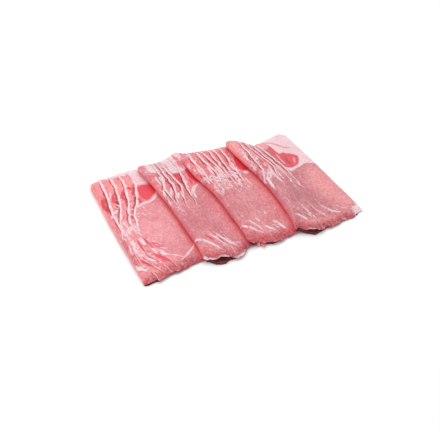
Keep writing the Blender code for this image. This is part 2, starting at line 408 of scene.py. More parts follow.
class Portion:
    """The form of one folded pack of slices, and what it lies on."""

    RIM_LANE = 40.0  # between the lines of unevenness that two rims follow

    def __init__(self, number: int, layout: Layout, under: Optional["Portion"]) -> None:
        self.number = number
        self.layout = layout
        self.under = under
        self.nominal_width = float(self.width(np.zeros(1))[0])
        self.top_slice = len(layout.slice_edges)
        self.unevenness = Unevenness(seed=100 + number)

    def fold_x(self, y: Array) -> Array:
        """The fold's outermost line."""
        return along(self.layout.fold_line, y / ROW_DEPTH + 0.5)

    def width(self, y: Array) -> Array:
        """From the fold line to the free edge."""
        return along(self.layout.free_edge, y / ROW_DEPTH + 0.5) - self.fold_x(y)

    def torn(self, distance: Array) -> Array:
        """The torn front edge's wave, at a distance from the fold line."""
        return sum(
            height * np.sin(math.tau * distance / length + self.layout.torn_phase * order)
            for order, (length, height) in enumerate(TORN_WAVES, start=1)
        )

    def front_y(self, distance: Array) -> Array:
        """The front edge, at a distance from the fold line."""
        straight = along(self.layout.front_edge, distance / self.nominal_width)
        return straight + corner_cut(distance, FRONT_CORNER_RADIUS) + self.torn(distance)

    def back_y(self, distance: Array) -> Array:
        """The back edge, at a distance from the fold line."""
        straight = along(self.layout.back_edge, distance / self.nominal_width)
        straight = straight - corner_cut(distance, BACK_CORNER_RADIUS)
        nub = self.layout.nub
        straight = straight + nub.reach * bell(distance, nub.centre, nub.half_width)
        if self.layout.corner_radius:
            to_corner = self.nominal_width + 1 - distance
            straight = straight - corner_cut(to_corner, self.layout.corner_radius)
        return straight

    def mouth_bump(self, distance: Array) -> Array:
        """1 at the middle of the mouth, 0 from its sides on."""
        return bell(distance, self.layout.mouth.centre, self.layout.mouth.half_width)

    def mouth_lift(self, distance: Array, y: Array) -> Array:
        """How far the mouth lifts the upper flap."""
        mouth, inward = self.layout.mouth, y - self.front_y(distance)
        return mouth.lift * self.mouth_bump(distance) * fade(inward, mouth.depth)

    def end_share(self, distance: Array, y: Array) -> Array:
        """How much of its height a portion keeps near its front and back, and just past them."""
        from_front = y - self.front_y(distance)
        from_back = self.back_y(distance) - y
        inward = 1 - np.clip(from_front / FRONT_SINK_DEPTH, 0.0, 1.0)
        front = FRONT_SINK_SHARE + (1 - FRONT_SINK_SHARE) * (1 - inward**FRONT_ROUNDNESS)
        sink = self.layout.back_sink
        back = sink + (1 - sink) * smooth_step(from_back / BACK_SINK_DEPTH)
        past = smooth_step(1 + np.minimum(np.minimum(from_front, from_back), 0.0) / END_LANDING)
        return front * back * past

    def height(self, distance: Array, y: Array) -> Array:
        """How high the upper face is above what it lies on, without steps or mouth."""
        width = self.width(y)
        past = smooth_step(1 - np.maximum(distance - width, 0.0) / LANDING)
        return along(self.layout.heights, distance / width) * self.end_share(distance, y) * past

    def support(self, x: Array, y: Array) -> Array:
        """The height on which this portion lies."""
        return self.under.top(x, y) if self.under else np.zeros_like(x)

    def top(self, x: Array, y: Array) -> Array:
        """The height at which the next portion may lie on this one."""
        distance = x - self.fold_x(y)
        air = LAYING_GAP * smooth_step(1 - np.maximum(distance - self.width(y), 0.0) / LANDING)
        return self.support(x, y) + self.height(distance, y) + air

    def depth_share(self, distance: Array, y: Array) -> Array:
        """How far y is from the front edge to the back edge."""
        front = self.front_y(distance)
        return np.clip((y - front) / (self.back_y(distance) - front), 0.0, 1.0)

    def step_height(self, depth: Array) -> Array:
        """The steps are highest at the back, pressed flat in the middle and show again in front."""
        return along(self.layout.step_heights, depth)

    def slice_edge(self, number: int, depth: Array, y: Array) -> Array:
        """The distance of a slice's left edge from the fold line.

        Args:
            number: the slice, from 1.
            depth: share of the way from front to back.
            y: the same place in millimetres, for the ragged line and the fold line.

        Returns:
            The distance in millimetres.
        """
        ragged = self.unevenness.layers(y, self.RIM_LANE * number, RAGGED_RIM)
        distance = along(self.layout.slice_edges[number - 1], depth) - self.fold_x(y) + ragged
        return np.maximum(distance, FOLD_REACH + FIRST_RIM_ROOM + NEXT_RIM_ROOM * number)

    def inner_level(self, distance: Array, y: Array) -> Array:
        """The underside of the upper flap, above what the portion lies on."""
        height = self.height(distance, y)
        loose = height * (1 - LOWER_SHARE)
        closed = LOWER_SHARE * height + SLIT
        level = between(loose, closed, smooth_step((distance - FOLD_REACH) / FOLD_CAVITY_LENGTH))
        past_lower = distance - (self.width(y) - LOWER_FLAP_INSET)
        return level * (1 - FREE_EDGE_DROP_SHARE * smooth_step(past_lower / FREE_EDGE_DROP))

    def slice_end(self, number: int, y: Array, depth: Array) -> Array:
        """The distance of a slice's right end from the fold line, short of the next one's."""
        width = self.width(y)
        if number == self.top_slice:
            return width
        last = self.slice_edge(self.top_slice, depth, y)
        start = self.slice_edge(number, depth, y) if number else 0.0
        least = np.maximum(start + SHORTEST_SLICE, last + LEAST_TUCK)
        return np.maximum(width - END_STAGGER * (last - start), least)

    def full_thickness(self, distance: Array, y: Array) -> Array:
        """A slice's thickness where the upper flap shares its room among the slices there."""
        depth = self.depth_share(distance, y)
        count = np.ones_like(distance)
        for number in range(1, self.top_slice + 1):
            count += smooth_step((distance - self.slice_edge(number, depth, y)) / RIM_SWELL)
        for number in range(self.top_slice):
            past = distance - self.slice_end(number, y, depth)
            count -= smooth_step(past / RIM_SWELL + 1)
        share = self.packed_room(distance, y) / np.maximum(count, 1.0)
        return np.clip(share, THINNEST, SLICE_THICKNESS)

    def packed_room(self, distance: Array, y: Array) -> Array:
        """What the slices of the upper flap take up of its height."""
        return PACKED_SHARE * (self.height(distance, y) - self.inner_level(distance, y))

    def thickness(self, number: int, distance: Array, y: Array) -> Array:
        """The thickness of a slice of the upper flap."""
        depth = self.depth_share(distance, y)
        full = self.full_thickness(distance, y)
        if number == 0:
            wrap = WRAP_SHARE * LOWER_SHARE * self.height(distance, y)
            return between(wrap, full, smooth_step((distance - FOLD_REACH) / WRAP_SWELL))
        rim = np.minimum(self.step_height(depth), RIM_LIMIT * full) + RIM_MARGIN
        rim = np.maximum(rim, THINNEST_RIM)
        inward = distance - self.slice_edge(number, depth, y)
        grown = between(rim, full, smooth_step(inward / RIM_SWELL))
        ahead = self.slice_end(number, y, depth) - distance
        if number == self.top_slice:
            free_end = np.minimum(self.packed_room(distance, y), FREE_END_THICKNESS)
            return between(grown, free_end, fade(ahead, FREE_END_SWELL))
        return grown * (END_SHARE + (1 - END_SHARE) * smooth_step(ahead / END_SWELL))

    def undulation(self, x: Array, y: Array) -> Array:
        """The gentle unevenness that all of a portion's slices share."""
        at = self.unevenness.at
        wave = sum(height * at(x + shift, y, length) for height, length, shift in UNDULATION)
        nub, distance = self.layout.nub, x - self.fold_x(y)
        stand = bell(distance, nub.centre, NUB_SPREAD * nub.half_width)
        backward = smooth_step((y - self.back_y(distance) + NUB_RISE) / NUB_RISE)
        return wave + nub.lift * stand * backward

    def slice_top(self, number: int, distance: Array, y: Array) -> Array:
        """The upper face of a slice of the upper flap.

        Args:
            number: the slice, 0 for the one that wraps the fold.
            distance: from the fold line.
            y: place along the fold line.

        Returns:
            The height above the table. Under the next slice it is that slice's underside.
        """
        depth = self.depth_share(distance, y)
        half = self.step_height(depth) / 2
        start = self.slice_edge(number, depth, y) if number else np.full_like(distance, FOLD_REACH)
        has_next = number < self.top_slice
        stop = self.slice_edge(number + 1, depth, y) if has_next else start + LAST_STEP_FADE
        rise = half if number else np.zeros_like(distance)
        target = -half if has_next else np.zeros_like(distance)
        share = np.clip((distance - start) / np.maximum(stop - start, 0.1), 0.0, 1.0)
        x = self.fold_x(y) + distance
        base = self.support(x, y) + self.height(distance, y) + self.mouth_lift(distance, y)
        seen = base + rise + (target - rise) * share
        if not has_next:
            return seen
        next_top = self.slice_top(number + 1, distance, y)
        covered = next_top - self.thickness(number + 1, distance, y) - CLING_GAP
        return np.where(distance > stop, covered, seen)


def write_tissues(mesh: bpy.types.Mesh, tissues: Array) -> None:
    """Write what each point is made of to a mesh.

    Args:
        mesh: the mesh.
        tissues: one row for each vertex, in the order of Tissue.
    """
    colours = np.ones((len(tissues), 4), np.float32)
    colours[:, :3] = tissues[:, :3]
    channels = mesh.attributes.new("tissue", "FLOAT_COLOR", "POINT")
    channels.data.foreach_set("color", colours.ravel())
    for tissue in (Tissue.DARK, Tissue.BLUSH):
        amount = mesh.attributes.new(tissue.name.lower(), "FLOAT", "POINT")
        amount.data.foreach_set("value", np.ascontiguousarray(tissues[:, tissue], np.float32))


def raise_to(tissues: Array, tissue: Tissue, amount: Array) -> None:
    """Raise one tissue at each point to at least an amount."""
    tissues[:, tissue] = np.maximum(tissues[:, tissue], amount)


def flat_slab(across: int, along_it: int) -> tuple:
    """Add a slab of a lattice, one unit wide, long and thick.

    Args:
        across: how many faces it has across.
        along_it: how many faces it has along its length.

    Returns:
        The slab, and its points as rows.
    """
    bpy.ops.object.select_all(action="DESELECT")
    bpy.ops.mesh.primitive_grid_add(x_subdivisions=across, y_subdivisions=along_it, size=1)
    slab = bpy.context.object
    solid = slab.modifiers.new("slab", "SOLIDIFY")
    solid.thickness = 1
    solid.offset = 0
    bpy.ops.object.modifier_apply(modifier=solid.name)
    flat = np.empty(len(slab.data.vertices) * 3, np.float32)
    slab.data.vertices.foreach_get("co", flat)
    return slab, flat.reshape(-1, 3)


def carry(slab: bpy.types.Object, points: Array, tissues: Array) -> None:
    """Carry a slab's points to their places, in millimetres, and write what they are made of."""
    slab.data.vertices.foreach_set("co", (points * MM).astype(np.float32).ravel())
    write_tissues(slab.data, tissues)
    bpy.ops.object.shade_smooth()
    slab.data.update()


@dataclass
class SliceSheet:
    """One slice as a closed sheet: its lattice, where each point lies and what it is made of."""

    portion: Portion
    number: int
    front_reach: float = 0.0  # how far it reaches out past the portion's front edge
    back_reach: float = 0.0

    PROBE_DISTANCE = 30.0  # where the depth is measured
    SAMPLES = 60
    LAST_COLUMN_GAP = 0.3
    HIDDEN_START = (1.15, 1.5)  # the columns stay close a little past the next slice's rim
    LEAST_HIDDEN = 4.0
    HIDDEN_COLUMNS = 8
    END_LANE = (500.0, 31.0)
    CURL_LANE = 77.0
    CURL_LENGTH = 16.0
    CURL_HEIGHT = 0.12
    CURL_REACH = 4.0

    def name(self) -> str:
        """The piece's name."""
        return f"portion_{self.portion.number}_slice_{self.number}"

    def rows(self) -> Array:
        """The lattice's rows as shares of the depth, crowded at both ends."""
        probe = np.array(self.PROBE_DISTANCE)
        depth = float(self.portion.back_y(probe) - self.portion.front_y(probe))
        ends = np.array(EDGE_STATIONS) / depth
        middle = np.linspace(ends[-1], 1 - ends[-1], int(depth / ROW_SPACING))[1:-1]
        return np.concatenate((ends, middle, 1 - ends[::-1]))

    def columns(self) -> Array:
        """The lattice's columns as shares of the slice's width, crowded at its rims."""
        portion = self.portion
        depth = np.linspace(0, 1, self.SAMPLES)
        y = rough_y(depth)
        start = portion.slice_edge(self.number, depth, y)
        span = float(np.max(portion.slice_end(self.number, y, depth) - start))
        edge = np.array(EDGE_STATIONS)
        first = edge[-1] + COLUMN_SPACING
        if self.number == portion.top_slice:
            middle = np.arange(first, span - edge[-1] - self.LAST_COLUMN_GAP, COLUMN_SPACING)
            return np.concatenate((edge, middle, span - edge[::-1])) / span
        factor, margin = self.HIDDEN_START
        seen = float(np.max(portion.slice_edge(self.number + 1, depth, y) - start)) + margin
        middle = np.arange(first, min(seen * factor, span - self.LEAST_HIDDEN), COLUMN_SPACING)
        hidden = np.linspace(middle[-1], span, self.HIDDEN_COLUMNS + 1)[1:]
        return np.concatenate((edge, middle, hidden)) / span

    def ends(self, distance: Array) -> tuple:
        """The slice's own ragged front and back edges, at a distance from the fold line."""
        layers = self.portion.unevenness.layers
        first, gap = self.END_LANE
        lane = first + gap * self.number
        front = self.portion.front_y(distance) - self.front_reach
        front = front + layers(distance, lane, RAGGED_FRONT)
        back = self.portion.back_y(distance) + self.back_reach
        return front, back + layers(distance, lane, RAGGED_BACK)

    def distance_at(self, column: Array, depth: Array, y: Array) -> Array:
        """The distance from the fold line of a share of the slice's width."""
        start = self.portion.slice_edge(self.number, depth, y)
        return between(start, self.portion.slice_end(self.number, y, depth), column)

    def lie(self, column: Array, row: Array) -> tuple:
        """Where lattice points lie in plan.

        Args:
            column: share of the slice's width at each point.
            row: share of the slice's depth at each point.

        Returns:
            The distance from the fold line, y, and the distance to the front and back edges.
        """
        depth, y = row, rough_y(row)
        for _ in range(SETTLING_ROUNDS):
            distance = self.distance_at(column, depth, y)
            front, back = self.ends(distance)
            y = front + row * (back - front)
            depth = self.portion.depth_share(distance, y)
        return self.distance_at(column, depth, y), y, y - front, back - y

    def surface(self, column: Array, row: Array, upper: Array) -> Array:
        """Where the sheet's points lie, for its upper and its lower face."""
        portion = self.portion
        distance, y, from_front, from_back = self.lie(column, row)
        x = portion.fold_x(y) + distance
        top = portion.slice_top(self.number, distance, y)
        bottom = top - portion.thickness(self.number, distance, y)
        depth = portion.depth_share(distance, y)
        from_left = distance - portion.slice_edge(self.number, depth, y)
        from_right = portion.slice_end(self.number, y, depth) - distance
        top = bottom + (top - bottom) * rounded(from_left, RIM_RADIUS) * rounded(from_right)
        curl = portion.unevenness.at(y, self.CURL_LANE * self.number, self.CURL_LENGTH)
        lift = self.CURL_HEIGHT * np.maximum(curl, 0.0) * fade(from_left, self.CURL_REACH)
        middle, half = (top + bottom) / 2, (top - bottom) / 2
        half = half * rounded(from_front) * rounded(from_back)
        z = np.where(upper, middle + half, middle - half) + lift + portion.undulation(x, y)
        return np.stack((x, y, z), axis=-1)

    def tissues(self, points: Array, upper: Array) -> Array:
        """What each point is made of. Both faces are alike."""
        return PATTERNS[self.portion.number].tissues(self, points)

    def build(self) -> bpy.types.Object:
        """Make the sheet: a flat slab of a lattice, each point then carried to its place.

        Returns:
            The finished object, at the origin.
        """
        columns, rows = self.columns(), self.rows()
        sheet, flat = flat_slab(len(columns) - 1, len(rows) - 1)
        sheet.name = sheet.data.name = self.name()
        column = columns[np.rint((flat[:, 0] + 0.5) * (len(columns) - 1)).astype(int)]
        row = rows[np.rint((flat[:, 1] + 0.5) * (len(rows) - 1)).astype(int)]
        upper = flat[:, 2] > 0
        points = self.surface(column, row, upper)
        carry(sheet, points, self.tissues(points, upper))
        return sheet


@dataclass
class WrapSheet(SliceSheet):
    """A slice that wraps the fold: lower flap, half a turn, and part of the upper flap.

    Its columns are one running number: 0 to 1 on the lower flap, 1 to 2 round the fold and 2 to 3
    on the upper flap.
    """

    share: tuple = (0.0, 0.48)  # its part of the lower flap's thickness, from outside to inside
    inner: bool = False

    LOWER_COLUMNS = 14
    FOLD_COLUMNS = 16
    OUTER_COLUMNS = 26
    INNER_COLUMNS = 12
    CROWDING = 1.3  # the upper flap's columns are closest at the fold
    NOMINAL_LENGTH = 60
    INNER_END = 26.0
    UPPER_LENGTH = 30
    INSIDE_DARKNESS = 2.0  # past 1, so that the material can tell it from a crease
    BULGE = (0.25, 6, 9.0)  # height, stretch round the fold and length of a bump
    CLOSING = 0.45  # share of the fold over which it lifts off what is under it
    SNUG_SHARE = 0.9  # what the underside takes up of the gap that portions are laid with

    def name(self) -> str:
        """The piece's name."""
        return f"portion_{self.portion.number}_{'inner' if self.inner else 'outer'}_fold"

    def columns(self) -> Array:
        """The lattice's columns."""
        edge = np.array(EDGE_STATIONS) / self.NOMINAL_LENGTH
        lower = np.concatenate((edge, np.linspace(edge[-1], 1, self.LOWER_COLUMNS)[1:]))
        turn = 1 + np.linspace(0, 1, self.FOLD_COLUMNS + 1)[1:]
        count = self.INNER_COLUMNS if self.inner else self.OUTER_COLUMNS
        upper = 2 + np.linspace(0, 1, count + 1)[1:] ** self.CROWDING
        last = 3 - edge[::-1][1:]
        return np.concatenate((lower, turn, upper[:-1], last))

    def surface(self, column: Array, row: Array, upper: Array) -> Array:
        """Where the sheet's points lie. Its upper face is the outer one all round the fold."""
        portion = self.portion
        on_lower, on_turn = column <= 1, column <= 2
        share = np.where(upper, self.share[0], self.share[1])
        run = portion.nominal_width - LOWER_FLAP_INSET
        flat = np.clip(column, 0, 1)
        lower_distance = between(run, FOLD_REACH, flat)
        turn = np.pi * np.clip(column - 1, 0, 1)
        fold_distance = FOLD_REACH * (1 - np.sin(turn))
        part = np.clip(column - 2, 0, 1)
        depth, y = row, rough_y(row)
        for _ in range(SETTLING_ROUNDS):
            end = portion.slice_end(0, y, depth)
            if self.inner:
                end = np.full_like(row, self.INNER_END)
            upper_distance = between(FOLD_REACH, end, part)
            distance = np.where(on_turn, fold_distance, upper_distance)
            distance = np.where(on_lower, lower_distance, distance)
            front, back = self.ends(distance)
            lip = portion.layout.mouth.lip * portion.mouth_bump(distance)
            front = front - np.where(on_lower, lip, 0.0)
            y = front + row * (back - front)
            depth = portion.depth_share(distance, y)
        # the lower flap
        widened = 1 + (portion.width(y) / portion.nominal_width - 1) * (1 - flat)
        lower_distance = lower_distance * widened
        lower_z = share * LOWER_SHARE * portion.height(lower_distance, y)
        # half a turn
        height, stretch, length = self.BULGE
        bulge = height * portion.unevenness.at(y, column * stretch, length)
        roll = portion.height(np.full_like(y, FOLD_REACH), y) / 2
        inset = share * 2 * LOWER_SHARE * roll
        turn_distance = FOLD_REACH - (FOLD_REACH - inset + bulge) * np.sin(turn)
        turn_z = roll - (roll - inset) * np.cos(turn)
        turn_z = 2 * roll * np.clip(turn_z / np.maximum(2 * roll, 0.01), 0, 1) ** FOLD_SAG
        # the upper flap
        first = portion.thickness(0, upper_distance, y)
        second = WRAP_SHARE * LOWER_SHARE * portion.height(upper_distance, y)
        second = np.minimum(first, second)
        outside = portion.slice_top(0, upper_distance, y)
        if self.inner:
            outside = outside - (first + CLING_GAP)
        inside = outside - (second if self.inner else first)
        distance = np.where(on_turn, turn_distance, upper_distance)
        x = portion.fold_x(y) + np.where(on_lower, lower_distance, distance)
        support = portion.support(x, y)
        if portion.under and not self.inner:
            room = np.minimum(LAYING_GAP, support) * fade(column - 1, self.CLOSING)
            support = support - self.SNUG_SHARE * np.where(upper, room, room / 2)
        z = np.where(on_turn, support + turn_z, np.where(upper, outside, inside))
        z = np.where(on_lower, support + lower_z, z)
        z = z + portion.undulation(x, y) * smooth_step(column - 0.9)
        end_gap = np.minimum(column * run, (3 - column) * self.UPPER_LENGTH)
        soft = rounded(y - front) * rounded(back - y) * rounded(end_gap)
        # the slab holds one face after the other, in the same order
        middle = (z + np.roll(z, len(z) // 2)) / 2
        return np.stack((x, y, middle + (z - middle) * soft), axis=-1)

    def tissues(self, points: Array, upper: Array) -> Array:
        """What each point is made of. The face inside the fold is dark."""
        found = super().tissues(points, upper)
        found[:, Tissue.DARK] = np.where(upper, found[:, Tissue.DARK], self.INSIDE_DARKNESS)
        return found


@dataclass(frozen=True)
class Shred:
    """One torn scrap at a front edge."""

    distance: float  # from the fold line
    length: float
    width: float
    turn: float = 0.0  # degrees from straight out
    level: float = 0.45  # share of the portion's height at the edge
    root: float = 1.2  # how far inside the edge it starts


@dataclass
class Fringe:
    """The scraps of a portion's torn front edge, as one piece."""

    portion: Portion
    scraps: tuple

    ACROSS = 6
    ALONG = 10
    LANES = (900.0, 7)
    TAPER_POWER = 2.5
    TAPER_WAVE = (0.75, 0.45)
    TIP_WIDTH = 0.06
    WOBBLE = 0.35  # how far a scrap strays to its sides, as a share of its width
    THICKNESS = (0.28, 0.3)  # half the tip's, and what the root adds to it
    ROUNDNESS = 0.93
    THINNING = 0.6
    LOWEST = 0.05
    FALL = 0.75  # how far a scrap's tip falls, as a share of the way to LANDED
    LANDED = 0.5
    CORAL = 0.7
    # painted shade: the saturated red of the shaded front, on the scraps
    BLUSH = 0.8

    def scrap(self, shred: Shred, lane: float) -> bpy.types.Object:
        """Make one scrap: a small tapered flap that droops."""
        flap, flat = flat_slab(self.ACROSS, self.ALONG)
        flat = flat.astype(float)
        across, out = flat[:, 0] * 2, flat[:, 1] + 0.5
        noise = self.portion.unevenness
        middle, swing = self.TAPER_WAVE
        taper = np.sqrt(np.clip(1 - out**self.TAPER_POWER, 0, 1))
        taper = taper * (middle + swing * noise.at(out * 3, lane, 1.0)) + self.TIP_WIDTH
        wobble = self.WOBBLE * shred.width * noise.at(out * 2, lane + 5, 1.0) * out
        aside = across * taper * shred.width / 2 + wobble
        rim = np.sqrt(np.clip(1 - (across * self.ROUNDNESS) ** 2, 0, 1))
        tip, added = self.THICKNESS
        thick = (tip + added * (1 - out)) * rim * (1 - self.THINNING * out)
        distance = np.array(shred.distance)
        front = float(self.portion.front_y(distance))
        x0 = float(self.portion.fold_x(np.array(front))) + shred.distance
        y0 = front + shred.root
        support = float(self.portion.support(np.array(x0), np.array(y0)))
        height = float(self.portion.height(distance, np.array(y0)))
        angle = math.radians(shred.turn)
        run = out * shred.length
        x = x0 + aside * math.cos(angle) + run * math.sin(angle)
        y = y0 - run * math.cos(angle) + aside * math.sin(angle)
        level = support + height * shred.level
        beyond = np.clip((run - shred.root) / max(shred.length - shred.root, 0.1), 0, 1)
        z = level - (level - self.LANDED) * self.FALL * beyond**1.5 + thick * np.sign(flat[:, 2])
        points = np.stack((x, y, np.maximum(z, self.LOWEST)), axis=-1)
        tissues = np.zeros((len(points), len(Tissue)), np.float32)
        tissues[:, Tissue.FAT] = np.clip(0.1 + 0.3 * out + 0.4 * noise.at(x, y, 2.0), 0, 1)
        tissues[:, Tissue.CORAL] = self.CORAL
        tissues[:, Tissue.BLUSH] = self.BLUSH
        carry(flap, points, tissues)
        return flap

    def build(self) -> bpy.types.Object:
        """Make all scraps and join them.

        Returns:
            The finished object, at the origin.
        """
        first, gap = self.LANES
        flaps = [self.scrap(shred, first + gap * order) for order, shred in enumerate(self.scraps)]
        bpy.ops.object.select_all(action="DESELECT")
        for flap in flaps:
            flap.select_set(True)
        bpy.context.view_layer.objects.active = flaps[0]
        bpy.ops.object.join()
        fringe = bpy.context.object
        fringe.name = fringe.data.name = f"portion_{self.portion.number}_torn_fringe"
        return fringe


SCRAPS = {
    1: (Shred(43.5, 3.6, 4.2, 12.0, 0.25), Shred(40.0, 2.4, 5.0, -14.0, 0.3)),
    3: (Shred(13.5, 6.4, 4.4, 8.0, 0.25), Shred(10.0, 3.2, 5.6, -10.0, 0.25)),
}


@dataclass(frozen=True)
class Pattern:
    """The marks of one portion, where the photograph's slices show them."""

    marks: tuple
    rim_width: tuple  # half the white rim of each slice, front to back
    step_shade: tuple  # width of the painted shade, a dark red line beside the next slice's rim, front to back
    coral: tuple = (0.15, 0.15, 0.1, 0.1, 0.3, 0.6, 0.5)
    # painted shade: how strong at the front ends, and at the foot of the fold
    front_shade: float = 0.9
    fold_foot_shade: float = 0.9

    RIM_LANES = (90.0, 20, 6.0)  # first line, gap between lines and length of a bump
    RIM_WIDENING = (1.2, 0.4)
    RIM_SOFTNESS = 3.0
    SIDE_WIDTH = 0.5  # a rim's thin upright side is painted coral: partly its own translucent tone, partly painted shade of the crevice
    SIDE_SHARE = 0.8
    STEP_SHADE_LANES = (210.0, 20, 5.0)
    STEP_SHADE_WIDENING = (1.0, 0.5)
    STEP_SHADE_SOFTNESS = 2.6
    # painted shade on the front ends, which face away from the key light
    FRONT_SHADE_DEPTH = 13.0
    FRONT_SHADE_DARKNESS = 0.6
    FRONT_SHADE_TONE = 0.2
    LIP_DEPTH = 2.2
    LIP_WIDENING = 0.6
    LIP_FAT = 0.64
    FOOT_WIDTH = (0.5, 4.0)  # where the painted shade at the foot of the fold starts to fade, and over what
    FOOT_RISE = 0.75
    NEXT_FOLD_WIDTH = 3.2
    # painted shade beside the next portion's fold
    NEXT_FOLD_SHADE = 0.8

    def tissues(self, sheet: SliceSheet, points: Array) -> Array:
        """What the points of a slice are made of.

        Args:
            sheet: the slice.
            points: its points in millimetres.

        Returns:
            One row for each point, in the order of Tissue, each from 0 to 1.
        """
        portion = sheet.portion
        x, y = points[:, 0], points[:, 1]
        distance = x - portion.fold_x(y)
        depth = portion.depth_share(np.maximum(distance, 0.0), y)
        found = np.zeros((len(points), len(Tissue)))
        if sheet.number < portion.top_slice:
            found[:, Tissue.CORAL] = along(self.coral, depth)
        for mark in self.marks:
            cover = mark.cover(points[:, :2])
            over = found[:, mark.tissue].copy()
            if mark.tissue is not Tissue.DARK:
                found *= 1 - cover[:, None]
            found[:, mark.tissue] = np.maximum(over, cover)
        # painted shade: a dark red line where the next slice's step shades this one
        if sheet.number < portion.top_slice:
            ahead = portion.slice_edge(sheet.number + 1, depth, y) - distance
            width = along(self.step_shade, depth)
            width = width * self.widening(sheet, y, self.STEP_SHADE_LANES, self.STEP_SHADE_WIDENING)
            raise_to(found, Tissue.DARK, self.band(width, ahead, self.STEP_SHADE_SOFTNESS))
        if sheet.number:
            inward = distance - portion.slice_edge(sheet.number, depth, y)
            width = along(self.rim_width, depth)
            width = width * self.widening(sheet, y, self.RIM_LANES, self.RIM_WIDENING)
            rim = self.band(width, inward, self.RIM_SOFTNESS)
            found *= 1 - rim[:, None]
            raise_to(found, Tissue.FAT, rim)
            # partly painted shade: the rim's upright side in coral, so that the crevice's shade
            # reads red
            side = self.SIDE_SHARE * fade(inward, self.SIDE_WIDTH)
            found[:, Tissue.FAT] *= 1 - side
            raise_to(found, Tissue.CORAL, side)
        # painted shade on the front ends, and the white fat of the mouth's lip
        torn, lip = self.front_shade_and_lip(portion, distance, y)
        raise_to(found, Tissue.DARK, self.FRONT_SHADE_DARKNESS * torn)
        raise_to(found, Tissue.FAT, self.LIP_FAT * lip)
        found[:, Tissue.BLUSH] = np.maximum(self.blush(portion, points), self.FRONT_SHADE_TONE * torn)
        return found

    @staticmethod
    def widening(sheet: SliceSheet, y: Array, lanes: tuple, widening: tuple) -> Array:
        """By what a band along one slice's rim is wider or narrower in places."""
        first, gap, length = lanes
        middle, swing = widening
        return middle + swing * sheet.portion.unevenness.at(y, first + gap * sheet.number, length)

    @staticmethod
    def band(width: Array, gap: Array, softness: float) -> Array:
        """How surely each place lies in a band, at a gap from the line that it follows."""
        return np.clip(0.5 + (width - gap) / softness, 0, 1) * smooth_step(width / 0.5)

    def blush(self, portion: Portion, points: Array) -> Array:
        """Painted shade: a saturated red at the foot of the fold and beside the next portion's
        fold, where the crease is shaded.
        """
        x, y, z = points.T
        distance = x - portion.fold_x(y)
        height = portion.height(np.maximum(distance, FOLD_REACH), y)
        rise = (z - portion.support(x, y)) / np.maximum(height, 0.5)
        start, reach = self.FOOT_WIDTH
        tone = self.fold_foot_shade * fade(distance - start, reach) * fade(rise, self.FOOT_RISE)
        if portion.number < len(LAYOUTS):
            next_fold = along(LAYOUTS[portion.number].fold_line, y / ROW_DEPTH + 0.5)
            gap = next_fold - portion.fold_x(y) - distance
            tone = np.maximum(tone, self.NEXT_FOLD_SHADE * fade(gap, self.NEXT_FOLD_WIDTH))
        return tone

    def front_shade_and_lip(self, portion: Portion, distance: Array, y: Array) -> tuple:
        """The painted shade on the front end, and how white the lip of the mouth in it."""
        inward = y - portion.front_y(np.maximum(distance, 0.0))
        torn = self.front_shade * fade(inward, self.FRONT_SHADE_DEPTH)
        if not portion.layout.mouth.lip:
            return torn, np.zeros_like(torn)
        bump = portion.mouth_bump(distance) ** self.LIP_WIDENING
        return torn, fade(inward, self.LIP_DEPTH) * bump


def patch(tissue: Tissue, *outline: tuple, softness: float = 1.6, strength: float = 1.0) -> Patch:
    """A rounded patch of one tissue."""
    return Patch(tissue, outline, softness, strength)


def fat(half_width: float, *points: tuple, strength: float = 1.0) -> Streak:
    """A white line of fat."""
    return Streak(Tissue.FAT, half_width, points, strength)


def red(half_width: float, *points: tuple, strength: float = 1.0) -> Streak:
    """A line of red muscle."""
    return Streak(Tissue.RED, half_width, points, strength)


def coral(half_width: float, *points: tuple, strength: float = 1.0) -> Streak:
    """A soft band of orange-pink muscle."""
    return Streak(Tissue.CORAL, half_width, points, strength, softness=max(1.2, 0.9 * half_width))


def dark(half_width: float, *points: tuple, strength: float = 1.0) -> Streak:
    """Painted shade: a dark red line in a crease, beside a step or under an edge."""
    return Streak(Tissue.DARK, half_width, points, strength, softness=max(0.9, half_width))


def tangle(
    seed: int, area: tuple, count: int, make: Callable, half_width: float, run: tuple
) -> tuple:
    """Short irregular streaks strewn over an area.

    Args:
        seed: of the random draw.
        area: left, front, right and back in millimetres.
        count: how many streaks.
        make: the kind of streak, such as fat.
        half_width: half the width of the widest streaks.
        run: the mean way from one point of a streak to the next.

    Returns:
        The streaks.
    """
    draw = np.random.default_rng(seed)
    left, front, right, back = area
    stray = STRAY_SHARE * math.hypot(*run)
    streaks = []
    for _ in range(count):
        place = np.array([draw.uniform(left, right), draw.uniform(front, back)])
        steps = np.array(run) * draw.uniform(0.5, 1.0)
        steps = steps + draw.uniform(-stray, stray, (int(draw.integers(2, 5)), 2))
        points = np.vstack((place, place + np.cumsum(steps, axis=0)))
        streaks.append(make(half_width * draw.uniform(0.55, 1.0), *map(tuple, points)))
    return tuple(streaks)


